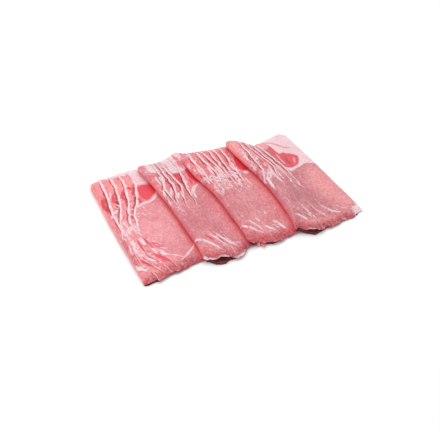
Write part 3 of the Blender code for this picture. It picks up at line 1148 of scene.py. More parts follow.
FIRST_MARKS = (
    # the fat cap and the red muscle in it
    patch(
        Tissue.FAT, (-78, 56), (-72, 53.5), (-62, 54), (-52, 56), (-50, 90), (-66, 92), (-79, 90),
        (-77.5, 70),
    ),
    patch(
        Tissue.FAT, (-99, 77), (-90, 76), (-80, 74), (-76, 90), (-90, 94), (-101, 92), strength=0.8,
    ),
    patch(
        Tissue.RED, (-78, 49), (-73, 51), (-66, 51.5), (-60, 47), (-61, 36), (-66, 32),
        (-72.5, 25.5), (-77, 27), (-80, 34), (-79.5, 44),
    ),
    patch(Tissue.RED, (-84.5, 35), (-81, 33), (-80, 26), (-81, 21), (-84, 21), (-85.5, 28)),
    fat(1.4, (-90, 15), (-86, 19), (-79, 21.5), (-72.8, 22.6), (-66.6, 27), (-62, 33), (-58, 42)),
    fat(0.7, (-75.8, 58), (-79, 49.5), (-81.4, 42), (-83, 36)),
    fat(1.2, (-117, 13), (-114.5, 18), (-110, 21.5), (-104, 24)),
    fat(0.7, (-104.5, 56), (-106.6, 47), (-108.2, 39)),
    red(1.1, (-79, 57), (-82, 48), (-84.6, 41), (-86.2, 35)),
    red(1.9, (-86.5, 53.5), (-84.5, 51), (-83.5, 48)),
    red(1.5, (-106.6, 16), (-106.6, 7)),
    red(1.3, (-97.8, 10), (-98.0, 2)),
    red(1.4, (-98.4, -15), (-98.8, -30), (-98, -44), (-95.5, -51)),
    red(1.7, (-115.5, 50), (-117, 38), (-117, 24)),
    red(1.7, (-113.6, 50), (-115.4, 43), (-117.2, 36), (-117, 22)),
    red(1.9, (-102.6, 50), (-104.8, 44), (-106, 37), (-105.4, 31), (-105.6, 24)),
    red(1.9, (-91.4, 52), (-93.8, 46), (-95.8, 40), (-95.6, 32), (-95.6, 24)),
    coral(2.9, (-115.5, 57), (-115.5, 66), (-115, 76)),
    coral(2.4, (-104, 58), (-104, 66), (-104, 75)),
    coral(2.2, (-92.5, 58), (-92.5, 66), (-92.5, 74)),
    coral(1.8, (-83, 60), (-83, 70)),
    # the front, where the fat is pulled out in long curves
    fat(1.4, (-114, -6), (-113.4, -13), (-112.9, -19)),
    fat(1.5, (-104.4, -5), (-103.4, -12), (-103.2, -17)),
    fat(1.5, (-101.8, -27), (-101.8, -33), (-100.6, -40)),
    fat(1.3, (-113, -33), (-112.6, -40), (-110.8, -47)),
    fat(1.4, (-100, -40), (-96.4, -48), (-91.6, -57), (-87.5, -66), (-84, -74)),
    fat(1.6, (-111, -45), (-109, -50), (-105.4, -56), (-101.5, -62), (-95.5, -68), (-91, -72)),
    fat(1.5, (-118.6, -58), (-117.6, -63), (-114, -67), (-109.5, -69.5), (-102.5, -72)),
    fat(0.9, (-108, -28), (-107, -38), (-104, -47), (-98, -57)),
    fat(0.8, (-107, -1), (-108, -10), (-108, -20), strength=0.85),
    fat(0.8, (-98, -3), (-98.4, -10), (-98.6, -18), strength=0.9),
    *tangle(11, (-117, -30, -98, 8), 20, fat, 0.7, (0.3, -5.0)),
    *tangle(12, (-117, -62, -94, -24), 22, fat, 0.7, (2.2, -4.4)),
    *tangle(13, (-116, -72, -92, -34), 14, red, 0.8, (3.0, -4.0)),
    *tangle(14, (-112, -76, -86, -56), 16, fat, 0.7, (4.6, -2.6)),
    *tangle(15, (-106, -64, -90, -44), 12, fat, 0.9, (3.6, -4.4)),
    *tangle(16, (-108, -76, -86, -52), 12, red, 0.9, (4.6, -3.0)),
    *tangle(17, (-116, 2, -84, 44), 22, fat, 0.6, (2.0, -2.4)),
    fat(1.1, (-56.5, -50), (-60, -56), (-64, -60), (-74, -67.5), (-83, -71), strength=0.75),
    red(1.6, (-99.6, -51), (-95, -60.5), (-88.5, -69)),
    red(1.9, (-110.5, -57), (-105, -66.5), (-96, -71)),
    red(1.3, (-115, -50), (-112, -57), (-108, -62)),
    red(1.2, (-106, -26), (-105, -42), (-101, -50)),
    coral(6.0, (-114, -72), (-100, -75), (-84, -77)),
    coral(2.0, (-90, -60), (-86, -66), (-82, -73)),
    # painted shade under the front edge
    dark(2.0, (-119, -79), (-104, -80), (-88, -79), strength=0.5),
    # painted shade along the left side
    dark(3.0, (-117.5, 0), (-117.5, -40), (-116.5, -66), strength=0.5),
)

SECOND_MARKS = (
    # painted shade: redder beside the next portion's fold, where its shade falls
    patch(Tissue.CORAL, (-26, 10), (-12, 10), (-10, -66), (-24, -66), softness=9.0, strength=0.42),
    patch(
        Tissue.FAT, (-36, 54), (-29, 54), (-20, 56), (-14, 62), (-12, 96), (-30, 98), (-41, 92),
        (-37.5, 74),
    ),
    patch(
        Tissue.FAT, (-66, 62), (-50, 56), (-36, 56), (-14, 62), (-12, 96), (-66, 92), softness=4.0,
        strength=0.52,
    ),
    patch(
        Tissue.FAT, (-58, 60), (-51, 58), (-50, 70), (-51, 84), (-57, 84), (-60, 72), strength=0.75,
    ),
    patch(Tissue.FAT, (-52.6, 50), (-49.5, 49), (-49.2, 40), (-52, 39.5)),
    patch(
        Tissue.RED, (-35.8, 50), (-32, 52), (-28.8, 52), (-28.8, 44), (-29.8, 37), (-33, 31.5),
        (-35.8, 39),
    ),
    patch(
        Tissue.RED, (-19, 56), (-15, 59), (-8, 56), (-8, 32), (-16, 29.5), (-19.5, 36), (-20.5, 46),
    ),
    patch(
        Tissue.CORAL, (-26, 46), (-22, 40), (-18, 30), (-23, 24), (-27.5, 19), (-31, 16.5),
        (-29, 28), (-26.5, 36),
    ),
    fat(1.4, (-49.8, 36), (-53, 31), (-56, 26), (-58.6, 20)),
    fat(0.8, (-57.4, 15), (-58, 6), (-57.8, -3), strength=0.85),
    fat(1.1, (-43.6, 32), (-47.4, 26), (-50, 20), (-52, 13)),
    fat(1.2, (-54.6, 53), (-55.8, 46), (-55.6, 40), (-54.4, 34)),
    fat(1.2, (-38, 54), (-37.2, 43), (-36, 33.5), (-35, 26)),
    fat(1.8, (-17, 27), (-21.8, 24.3), (-25.4, 20), (-28.4, 15.3), (-31.8, 10.5)),
    fat(1.2, (-25, 47), (-27, 36), (-29, 28), (-30.5, 18)),
    fat(1.4, (-42.4, 19), (-46.2, 12), (-49.6, 5)),
    fat(1.3, (-27.6, 17), (-28.2, 10), (-28.6, 3)),
    fat(1.1, (-38, 22), (-41, 14), (-41.5, 7), strength=0.8),
    # painted shade: dark lines beside the slices' steps at the back
    dark(0.65, (-52.2, 54), (-53.4, 47), (-53.4, 41), (-52.6, 35)),
    dark(0.65, (-48, 54), (-46.8, 48.5)),
    red(0.9, (-47.4, 47), (-47.4, 37.5)),
    dark(0.6, (-41, 48), (-41, 42.5)),
    red(1.4, (-38.5, 34), (-38, 29), (-37.8, 25.5)),
    red(1.0, (-21.8, 39), (-22, 29)),
    # painted shade beside a step
    dark(0.45, (-49.5, 91), (-48.5, 84), (-48.4, 75), strength=0.5),
    coral(2.6, (-62.5, 66), (-61.5, 73), (-61, 81), strength=0.6),
    coral(2.4, (-58.6, 30), (-59.6, 38), (-60.4, 48)),
    coral(1.5, (-48, 71), (-45.2, 65), (-42.6, 58)),
    coral(1.3, (-38.8, 74), (-37.6, 66.6), (-36.5, 60)),
    coral(2.4, (-20, 60), (-19.6, 74), (-19.4, 90)),
    # the front
    fat(1.4, (-60, -55.5), (-56.5, -58.4), (-52, -60.6), (-47, -66), (-43.5, -72), (-41, -77)),
    *tangle(21, (-58, -78, -32, -58), 10, fat, 0.55, (4.4, -3.2)),
    *tangle(22, (-61, 4, -50, 50), 12, fat, 0.75, (-0.6, -4.6)),
    *tangle(23, (-60, 6, -38, 46), 8, red, 0.8, (-0.8, -4.2)),
    fat(1.3, (-43, -53), (-38, -62), (-34.5, -70), (-29.5, -77.5)),
    fat(1.2, (-37, -52), (-32, -65), (-25.8, -75)),
    fat(1.1, (-49, -47), (-46, -55), (-42, -63), strength=0.75),
    fat(1.0, (-30, -58), (-27, -67), (-22, -74), strength=0.7),
    fat(1.3, (-59, -75), (-56, -78.5), (-50, -82)),
    fat(1.1, (-33, -85), (-28, -86), (-22, -84), (-17, -79.5), strength=0.85),
    fat(0.6, (-55.6, -2), (-53, -8), (-51.4, -13), strength=0.75),
    red(1.6, (-48, -52), (-43.4, -59), (-41, -66), strength=0.8),
    red(1.3, (-37.4, -60.5), (-34, -67), (-31, -72.5), strength=0.8),
    coral(4.4, (-60, -66), (-54, -69), (-47, -75), strength=0.65),
    coral(3.0, (-38, -76), (-28, -78), strength=0.7),
    # painted shade under the front edge
    dark(1.6, (-50, -85.5), (-41, -87.5), (-34, -87.5), strength=0.7),
)

THIRD_MARKS = (
    # painted shade: redder beside the next portion's fold, where its shade falls
    patch(Tissue.CORAL, (33, 16), (47, 18), (46, -66), (32, -70), softness=9.0, strength=0.5),
    patch(
        Tissue.RED, (41, 57), (45, 51), (47, 40), (45, 29), (38.5, 27.5), (35, 33), (35, 38),
        (37, 47),
    ),
    patch(
        Tissue.FAT, (-14, 27), (-6, 29), (6, 28), (20, 27), (22, 19), (8, 14), (-6, 15), (-13, 19),
        softness=6.0, strength=0.44,
    ),
    patch(
        Tissue.FAT, (-10, 16), (0, 18), (14, 18), (24, 16), (24, 2), (12, -6), (0, -4), (-9, 2),
        softness=8.0, strength=0.36,
    ),
    fat(1.1, (-13, 20), (-10, 25), (-6, 22), (-1, 26), (4, 22), (9, 27), (14, 23), (20, 28)),
    *tangle(31, (-11, 12, 24, 34), 22, fat, 0.95, (2.6, -3.0)),
    *tangle(32, (-10, -2, 26, 18), 22, fat, 0.6, (0.4, -3.6)),
    fat(0.9, (-12, 24), (-9, 19), (-3, 20), (2, 16), (7, 20), (13, 15), (19, 20)),
    fat(0.6, (-8, 21), (-8.6, 13), (-6.6, 7), (-7.6, -1)),
    fat(0.6, (-2.5, 20), (-1, 12), (-1.4, 4), (0.5, -3)),
    fat(0.6, (5, 20), (5.6, 11), (4, 4), (5, -5)),
    fat(0.6, (11, 19), (12.4, 11), (11.4, 4)),
    fat(0.6, (18, 20), (17, 12), (18.4, 5)),
    fat(1.7, (-7, 28), (-8.8, 33), (-9.2, 40), (-9.2, 50)),
    fat(1.7, (2.3, 26), (2.3, 37), (2.6, 46)),
    fat(1.6, (12, 25), (11.5, 37), (11, 44)),
    fat(2.4, (36, 25.5), (38.6, 24), (41, 22)),
    fat(1.6, (22.5, 31.5), (25.5, 28.5), (29, 25.5), (33, 24)),
    fat(1.1, (14.4, 41), (13.6, 33), (14, 26)),
    fat(1.6, (25, 30), (25.5, 22), (24.4, 13), (22.4, 6.6), (22.3, -6)),
    fat(1.3, (30.4, 48), (29.5, 38), (30.5, 29)),
    fat(0.96, (33.5, 42), (32.5, 33), (33.5, 27)),
    fat(0.83, (-8, 10), (-4, 12), (3, 9), strength=0.8),
    fat(0.77, (-8, 14), (-7.6, 6), (-8.6, -4), strength=0.75),
    fat(0.77, (0, 17), (1.5, 8), (0.5, 0), strength=0.75),
    fat(0.7, (9, 17), (10.5, 10), (10, 3), strength=0.75),
    fat(0.83, (33, 18), (33, 8), (33.5, 0), strength=0.8),
    red(2.2, (18.2, 52), (18.2, 45), (17.8, 38)),
    red(1.4, (35.4, 64.5), (34.2, 55), (32.3, 47.5), (31.5, 41)),
    red(0.7, (21.5, 47.5), (21.5, 40), (22, 34)),
    red(0.8, (26, 46), (26, 40)),
    red(0.9, (-12.3, 33), (-12.3, 25.5)),
    red(0.8, (-6, 23.7), (-5.4, 23)),
    red(0.8, (-2.7, 32), (-2.7, 30)),
    red(0.8, (-2.7, 23.4), (-2.6, 22.4)),
    red(0.7, (2.7, 26.8), (2.8, 25.8)),
    red(1.7, (14.8, 18.4), (14.6, 16.4), (14.4, 14.4)),
    red(0.8, (25.4, 17.5), (23.8, 15)),
    red(0.8, (17.7, 34.3), (17.7, 33)),
    # painted shade: dark lines beside the slices' steps at the back
    dark(0.5, (0.3, 62), (0.5, 54), (0.4, 46)),
    dark(0.5, (8.4, 62), (8.6, 52), (8.8, 44)),
    dark(0.5, (14.6, 60), (13.4, 50)),
    coral(1.9, (6, 50), (6.2, 64), (6, 80)),
    coral(1.9, (13.6, 50), (13.6, 64), (13, 80)),
    coral(2.4, (29, 50), (28.6, 64), (28, 80)),
    coral(2.2, (-9.6, 6), (-10, 11), (-7.6, 16)),
    coral(2.4, (-15, 42), (-15, 58), (-14, 76)),
    # the front
    fat(1.4, (-12, -59), (-8, -62.5), (-2, -67), (6, -73), (15, -78)),
    *tangle(33, (-10, -76, 34, -60), 10, fat, 0.6, (5.0, -2.2)),
    *tangle(34, (-16, 26, -6, 78), 12, fat, 0.7, (0.6, -4.6)),
    fat(1.1, (-2.4, -52), (1, -58.5), (4.5, -64.5), (7.6, -72)),
    fat(1.3, (10.4, -65), (14.5, -70), (20, -75.5), (24, -84)),
    fat(1.3, (25.6, -61), (27.6, -70), (32, -77), (36, -80.5)),
    fat(1.1, (40, -55), (43, -64), (49, -73), strength=0.8),
    fat(1.2, (23, -44), (22, -47), (20.6, -49)),
    fat(1.1, (8, -52), (8.4, -55), (9.4, -58)),
    fat(0.83, (-4, -55.4), (-4.2, -57)),
    fat(0.83, (-4, -46.4), (-4.2, -48)),
    fat(1.5, (23.2, -60.4), (24, -63.6), (25, -61.4)),
    dark(0.4, (24, -61.9), (24.1, -62.3)),
    coral(5.0, (-14, -72), (0, -77), (14, -79)),
    coral(4.5, (14, -79), (30, -79), (46, -74)),
    # painted shade under the front edge
    dark(2.4, (-16, -78), (0, -83), (16, -84.5), (30, -83), (48, -78), strength=0.6),
)

FOURTH_MARKS = (
    patch(
        Tissue.FAT, (74, 68), (79, 62), (84, 61), (83, 48), (80.5, 36), (80, 24), (80.5, 12),
        (83.5, 3.5), (90, 6), (99.5, 9.5), (108.5, 14), (124, 15.5), (126, 90), (100, 88),
        softness=1.3,
    ),
    patch(
        Tissue.CORAL, (92, 2), (124, 10), (126, -84), (100, -72), (86, -40), softness=14,
        strength=0.68,
    ),
    patch(
        Tissue.RED, (82, 60), (86.5, 59), (89, 52), (89, 44), (91, 40), (96, 41.5), (99, 38.5),
        (103, 38), (107.6, 33), (108.5, 28.5), (105, 22.5), (99.5, 15.5), (93, 11.3), (87, 10),
        (82.5, 12), (81, 22), (81, 34), (82, 46), softness=1.2,
    ),
    fat(0.8, (87, 42), (85.2, 34), (84.8, 24), (85.6, 15), strength=0.85),
    patch(Tissue.DARK, (90, 30), (94, 31), (93, 18), (88, 14), softness=2.5, strength=0.6),
    coral(1.3, (97, 17), (100, 24), (103, 30)),
    fat(1.1, (119.5, 50), (120.5, 20), (119.5, -20), (118, -60), strength=0.8),
    patch(
        Tissue.FAT, (108, -72), (116, -68), (123, -60), (124, -86), (106, -86), softness=3.0,
        strength=0.75,
    ),
    red(0.9, (87, 65), (93, 63.2), (97.6, 58.8), (103, 51), (109.5, 48.5), strength=0.9),
    coral(1.6, (84, 66), (93, 63), (98, 58), (104, 50.5), (110, 48.5)),
    patch(Tissue.CORAL, (71, 68), (76, 70), (84, 68), (86, 62), (84, 54), (77, 52), (73, 58)),
    patch(Tissue.CORAL, (40, 71), (46, 73), (51.5, 70), (52.5, 60), (49, 53), (42, 52), (39.5, 60)),
    fat(1.3, (47.6, 47), (46.3, 38.5), (45.8, 29)),
    fat(1.2, (60.6, 66), (61.6, 56), (63.4, 46), strength=0.8),
    fat(1.6, (73.2, 24), (73, 11), (73, -1)),
    fat(1.3, (56, 6), (52, 0), (49.2, -6), (47.6, -12), (46.8, -19), (46.4, -26)),
    *tangle(41, (46, 6, 60, 44), 20, fat, 0.9, (-0.8, -4.4)),
    *tangle(44, (41, -6, 50, 62), 14, fat, 0.7, (0.4, -4.6)),
    *tangle(42, (47, 12, 70, 50), 12, red, 0.8, (-0.6, -3.6)),
    *tangle(43, (42, -84, 92, -66), 20, fat, 0.6, (3.2, -4.2)),
    fat(1.3, (64, 22), (62, 11), (60.4, -0.5), (60.4, -9.6), (61, -19)),
    fat(1.1, (67, 9), (66, -2), (66.5, -12), strength=0.75),
    fat(1.1, (55, 24), (53, 14), (51, 6), strength=0.8),
    fat(1.3, (74.2, -9), (72.8, -13), (70.8, -18)),
    fat(1.3, (79.8, -13), (79, -18), (78.2, -24)),
    fat(0.7, (78, 8), (78.4, 0), (79.2, -6), strength=0.8),
    red(0.9, (70.4, -7.4), (70.4, -8.8)),
    red(1.0, (78.5, -12.4), (78.5, -13.8)),
    red(1.8, (59.5, 33), (60, 28), (60, 24), strength=0.9),
    red(1.0, (75.4, 30), (75.6, 14), (75.2, 7), strength=0.85),
    # painted shade: dark lines beside the slices' steps
    dark(0.9, (50.4, 46), (48.7, 39), (49.2, 29.5), (51.3, 20.5)),
    dark(0.9, (56.3, 70), (58, 61), (59.5, 54)),
    dark(0.8, (62.4, 63), (64.8, 49.5), (67.4, 36), (69.3, 20)),
    dark(0.8, (70.2, 52), (72.8, 40), (74.8, 27.6), (75.2, 14), (74.8, 7)),
    dark(0.5, (82.6, 52), (81.4, 40), (81, 28), strength=0.7),
    # the front
    fat(1.4, (58, -54), (58.2, -64), (61, -75), (65, -81.5)),
    fat(1.2, (67.5, -59), (70, -69), (74, -76), (80, -80.5)),
    fat(1.4, (80.4, -60), (82.5, -67.5), (87, -73), (98, -76.5)),
    fat(1.2, (43.6, -68), (49.5, -72.5), (53.8, -79.5)),
    fat(0.7, (94, -62), (98, -69), (108, -75), strength=0.85),
    fat(0.7, (50, -55), (51, -64), (54, -72), strength=0.7),
    fat(3.8, (113, -80), (119, -78), (122, -68), strength=0.95),
    # painted shade under the front corner
    dark(1.0, (111, -84), (117, -83), (121, -79), strength=0.6),
    red(0.7, (66, -59.5), (66.4, -70.5), strength=0.8),
    # painted shade in a crease at the front
    dark(0.5, (67, -79.5), (71.4, -87)),
    coral(3.6, (44, -80), (60, -81), (76, -81), (96, -78)),
    # painted shade under the front edge
    dark(1.6, (40, -86.5), (48, -89), (56, -89), strength=0.7),
)

PATTERNS = {
    1: Pattern(
        marks=FIRST_MARKS,
        rim_width=(0.5, 0.6, 0.3, 1.8, 2.1, 2.3, 2.3),
        step_shade=(0.4, 0.6, 0.3, 0.8, 2.2, 1.3, 0.1),
        coral=(0.5, 0.4, 0.35, 0.45, 0.75, 0.9, 0.5),
        fold_foot_shade=0.1,
    ),
    2: Pattern(
        marks=SECOND_MARKS,
        rim_width=(0.5, 0.4, 0.2, 0.8, 2.0, 2.1, 1.4),
        step_shade=(0.35, 0.35, 0.0, 0.5, 1.6, 1.0, 0.1),
        coral=(0.5, 0.3, 0.15, 0.3, 0.65, 0.6, 0.4),
    ),
    3: Pattern(
        marks=THIRD_MARKS,
        rim_width=(0.35, 0.25, 0.0, 0.4, 1.8, 2.2, 2.0),
        step_shade=(0.2, 0.0, 0.0, 0.2, 1.2, 1.2, 0.3),
        coral=(0.6, 0.15, 0.0, 0.1, 0.75, 1.0, 1.0),
    ),
    4: Pattern(
        marks=FOURTH_MARKS,
        rim_width=(0.5, 0.6, 0.3, 0.9, 1.7, 1.9, 1.8),
        step_shade=(0.3, 0.2, 0.0, 0.6, 1.3, 1.2, 0.4),
        coral=(0.5, 0.2, 0.1, 0.3, 0.7, 0.9, 0.9),
        front_shade=1.0,
    ),
}

LAYOUTS = (
    Layout(
        fold_line=(-119.2, -120.5, -119.0),
        free_edge=(-44.0, -42.0, -40.0),
        front_edge=(-81.5, -75.5, -69.5),
        back_edge=(83.5, 85.0, 86.0),
        heights=(6.6, 8.2, 8.6, 6.4, 1.8),
        torn_phase=0.4,
        slice_edges=(
            (-106.0, -117.0, -118.0, -118.5, -113.7, -110.3, -108.5),
            (-98.0, -111.5, -113.5, -112.5, -103.2, -99.0, -98.0),
            (-92.0, -103.5, -104.5, -103.0, -94.0, -89.0, -88.0),
            (-84.0, -95.0, -98.5, -97.0, -85.0, -78.0, -77.0),
        ),
        step_heights=(0.5, 0.4, 0.2, 0.25, 0.7, 0.85, 0.7),
    ),
    Layout(
        fold_line=(-59.2, -59.3, -59.5, -62.6, -67.5),
        free_edge=(8.0, 10.0, 10.0),
        front_edge=(-77.9, -82.9, -83.9, -73.4, -70.0),
        back_edge=(82.7, 82.6, 90.0, 90.0),
        heights=(7.0, 8.6, 8.4, 6.4, 1.8),
        torn_phase=2.1,
        slice_edges=(
            (-41.0, -58.0, -58.0, -61.5, -55.5, -50.0, -52.0),
            (-34.0, -45.0, -50.0, -52.0, -45.0, -45.0, -46.0),
            (-29.0, -37.0, -42.0, -44.0, -37.0, -39.5, -40.0),
            (-22.0, -30.0, -33.0, -33.0, -31.5, -26.0, -27.0),
        ),
        mouth=Mouth(centre=15.5, half_width=14.0, lift=3.2, depth=20.0, lip=4.0),
        nub=Nub(centre=53.0, half_width=12.0, reach=3.0, lift=2.6),
    ),
    Layout(
        fold_line=(-13.0, -11.6, -11.0, -16.8, -15.5),
        free_edge=(62.0, 64.0, 64.0),
        front_edge=(-75.3, -80.8, -81.0, -76.7, -70.0),
        back_edge=(80.0, 82.5, 85.0),
        heights=(6.8, 8.4, 8.4, 6.4, 1.8),
        torn_phase=3.7,
        slice_edges=(
            (-2.0, -12.0, -12.5, -12.9, -8.0, -9.3, -8.5),
            (4.0, -3.0, 0.0, 1.0, 5.0, 2.5, 1.0),
            (12.0, 3.0, 8.0, 9.0, 12.5, 10.3, 8.5),
            (20.0, 13.0, 14.0, 15.0, 17.0, 16.5, 17.8),
            (27.0, 19.0, 20.0, 22.0, 22.0, 23.5, 24.7),
            (34.0, 25.0, 27.0, 28.0, 29.0, 31.5, 32.5),
        ),
    ),
    Layout(
        fold_line=(34.5, 42.3, 44.8, 41.6, 39.5),
        free_edge=(117.5, 120.0, 120.5),
        front_edge=(-79.0, -87.0, -86.5, -83.5, -81.0),
        back_edge=(82.0, 71.6, 66.8, 74.5, 81.5),
        heights=(8.4, 9.2, 7.4, 4.6, 2.0),
        torn_phase=5.2,
        slice_edges=(
            (58.0, 46.0, 44.5, 49.0, 51.5, 52.5, 53.0),
            (64.0, 57.0, 59.0, 61.0, 66.5, 62.5, 59.5),
            (76.0, 67.5, 69.0, 72.0, 73.0, 68.0, 65.0),
            (88.0, 79.5, 79.0, 79.0, 78.5, 75.5, 71.0),
        ),
        back_sink=0.92,
        mouth=Mouth(centre=18.0, half_width=11.0, lift=2.6, depth=14.0, lip=2.0),
        nub=Nub(centre=28.0, half_width=8.0, reach=-6.0),
        corner_radius=3.5,
    ),
)


@dataclass(frozen=True)
class PorkFinish:
    """The colours of one portion's tissues."""

    name: str
    lean: tuple = (0.57, 0.130, 0.158)
    pale_lean: tuple = (0.72, 0.255, 0.278)
    coral: tuple = (0.78, 0.180, 0.178)
    red: tuple = (0.74, 0.018, 0.045)
    deep_red: tuple = (0.30, 0.006, 0.022)
    fat: tuple = (0.84, 0.63, 0.67)
    grey_fat: tuple = (0.70, 0.50, 0.53)

    # Raw meat lets light in a little and keeps a moist film.
    SUBSURFACE = 0.22
    SUBSURFACE_RADIUS = (1.0, 0.35, 0.3)
    SUBSURFACE_SCALE = 1.6 * MM
    FILM = 0.2
    SHINE = 0.35
    FILM_ROUGHNESS = 0.16

    def colours(self) -> dict:
        """The group's inputs for this portion."""
        return {name: getattr(self, name.lower().replace(" ", "_")) for name in PorkTissue.COLOURS}

    def material(self, group: bpy.types.NodeTree) -> bpy.types.Material:
        """Make the portion's material.

        Args:
            group: the shared group that turns tissue and place into colour, roughness and height.

        Returns:
            The material.
        """
        material = bpy.data.materials.new(self.name)
        material.use_nodes = True
        bench = Bench(material.node_tree)
        pork = bench.add("ShaderNodeGroup", node_tree=group)
        bench.feed(pork.inputs["Place"], bench.add("ShaderNodeTexCoord").outputs["Object"])
        tissue = bench.add("ShaderNodeAttribute", attribute_name="tissue")
        bench.feed(pork.inputs["Tissue"], tissue.outputs["Color"])
        for kind in (Tissue.DARK, Tissue.BLUSH):
            amount = bench.add("ShaderNodeAttribute", attribute_name=kind.name.lower())
            bench.feed(pork.inputs[kind.name.title()], amount.outputs["Fac"])
        for name, colour in self.colours().items():
            pork.inputs[name].default_value = (*colour, 1)
        bump = bench.add("ShaderNodeBump")
        bench.feed_all(bump, {"Distance": MM, "Strength": 1.0, "Height": pork.outputs["Height"]})
        surface = {
            "Base Color": pork.outputs["Color"],
            "Roughness": pork.outputs["Roughness"],
            "Normal": bump.outputs["Normal"],
            "Subsurface Weight": self.SUBSURFACE,
            "Subsurface Radius": self.SUBSURFACE_RADIUS,
            "Subsurface Scale": self.SUBSURFACE_SCALE,
            "Specular IOR Level": self.SHINE,
            "Coat Weight": self.FILM,
            "Coat Roughness": self.FILM_ROUGHNESS,
        }
        bench.feed_all(material.node_tree.nodes["Principled BSDF"], surface)
        return material


FINISHES = {
    1: PorkFinish("pork_first_portion"),
    2: PorkFinish(
        "pork_second_portion",
        lean=(0.46, 0.085, 0.110),
        pale_lean=(0.64, 0.205, 0.235),
        coral=(0.72, 0.140, 0.140),
        red=(0.70, 0.006, 0.034),
        fat=(0.76, 0.62, 0.65),
    ),
    3: PorkFinish(
        "pork_third_portion",
        lean=(0.46, 0.085, 0.105),
        pale_lean=(0.64, 0.205, 0.225),
        coral=(0.68, 0.095, 0.110),
        red=(0.68, 0.004, 0.030),
    ),
    4: PorkFinish(
        "pork_fourth_portion",
        lean=(0.38, 0.075, 0.098),
        pale_lean=(0.55, 0.160, 0.185),
        coral=(0.80, 0.30, 0.29),
        red=(0.70, 0.055, 0.080),
        fat=(0.80, 0.59, 0.63),
    ),
}


@dataclass
class Bench:
    """Adds nodes to one tree and joins them."""

    tree: bpy.types.NodeTree

    def add(self, kind: str, **settings: object) -> bpy.types.Node:
        """Add a node with the given settings."""
        node = self.tree.nodes.new(kind)
        for name, value in settings.items():
            setattr(node, name, value)
        return node

    def feed(self, socket: Socket, source: object) -> None:
        """Join a source to an input, or set the input where the source is a plain value."""
        if isinstance(source, Socket):
            self.tree.links.new(source, socket)
        else:
            socket.default_value = source

    def feed_all(self, node: bpy.types.Node, sources: dict) -> None:
        """Feed several inputs of one node, by their names or numbers."""
        for name, source in sources.items():
            self.feed(node.inputs[name], source)

    def math(self, operation: str, first: object, second: object = 0.0) -> Socket:
        """Combine two numbers."""
        node = self.add("ShaderNodeMath", operation=operation)
        self.feed_all(node, {0: first, 1: second})
        return node.outputs[0]

    def times(self, first: object, second: object) -> Socket:
        """Multiply two numbers."""
        return self.math("MULTIPLY", first, second)

    def total(self, first: object, second: object) -> Socket:
        """Add two numbers."""
        return self.math("ADD", first, second)

    def less(self, first: object, second: object) -> Socket:
        """Take the second number from the first."""
        return self.math("SUBTRACT", first, second)

    def scaled(self, vector: object, factors: tuple) -> Socket:
        """Stretch a place by a factor on each axis."""
        node = self.add("ShaderNodeVectorMath", operation="MULTIPLY")
        self.feed_all(node, {0: vector, 1: factors})
        return node.outputs[0]

    def moved(self, vector: object, shift: object) -> Socket:
        """Move a place."""
        node = self.add("ShaderNodeVectorMath", operation="ADD")
        self.feed_all(node, {0: vector, 1: shift})
        return node.outputs[0]

    def noise(
        self, place: object, scale: float, detail: float = 2.0, roughness: float = 0.5
    ) -> bpy.types.Node:
        """Add a noise texture."""
        node = self.add("ShaderNodeTexNoise")
        settings = {"Scale": scale, "Detail": detail, "Roughness": roughness}
        self.feed_all(node, {"Vector": place, **settings})
        return node

    def cells(self, place: object, scale: float) -> Socket:
        """The distance to the nearest border between rounded cells."""
        node = self.add("ShaderNodeTexVoronoi", feature="DISTANCE_TO_EDGE")
        self.feed_all(node, {"Vector": place, "Scale": scale})
        return node.outputs["Distance"]

    def ridges(self, place: object, scale: float, half_width: float) -> Socket:
        """Thin branching lines, where a noise passes its middle value."""
        value = self.noise(place, scale, 2.5).outputs[0]
        off = self.math("ABSOLUTE", self.less(value, 0.5))
        return self.less(1.0, self.step(off, 0.0, half_width))

    def step(self, value: object, low: float, high: float) -> Socket:
        """Climb smoothly from 0 to 1 as the value goes from low to high."""
        node = self.add("ShaderNodeMapRange", interpolation_type="SMOOTHSTEP")
        self.feed_all(node, {"Value": value, "From Min": low, "From Max": high})
        return node.outputs["Result"]

    def blend(self, share: object, first: object, second: object) -> Socket:
        """Mix two colours by a share of the second."""
        node = self.add("ShaderNodeMix", data_type="RGBA")
        self.feed_all(node, {"Factor": share, "A": first, "B": second})
        return node.outputs["Result"]

    def tint(self, colour: object, over: object, mask: object, share: object) -> Socket:
        """Lay one colour over another by a share of a mask."""
        return self.blend(self.times(mask, share), colour, over)


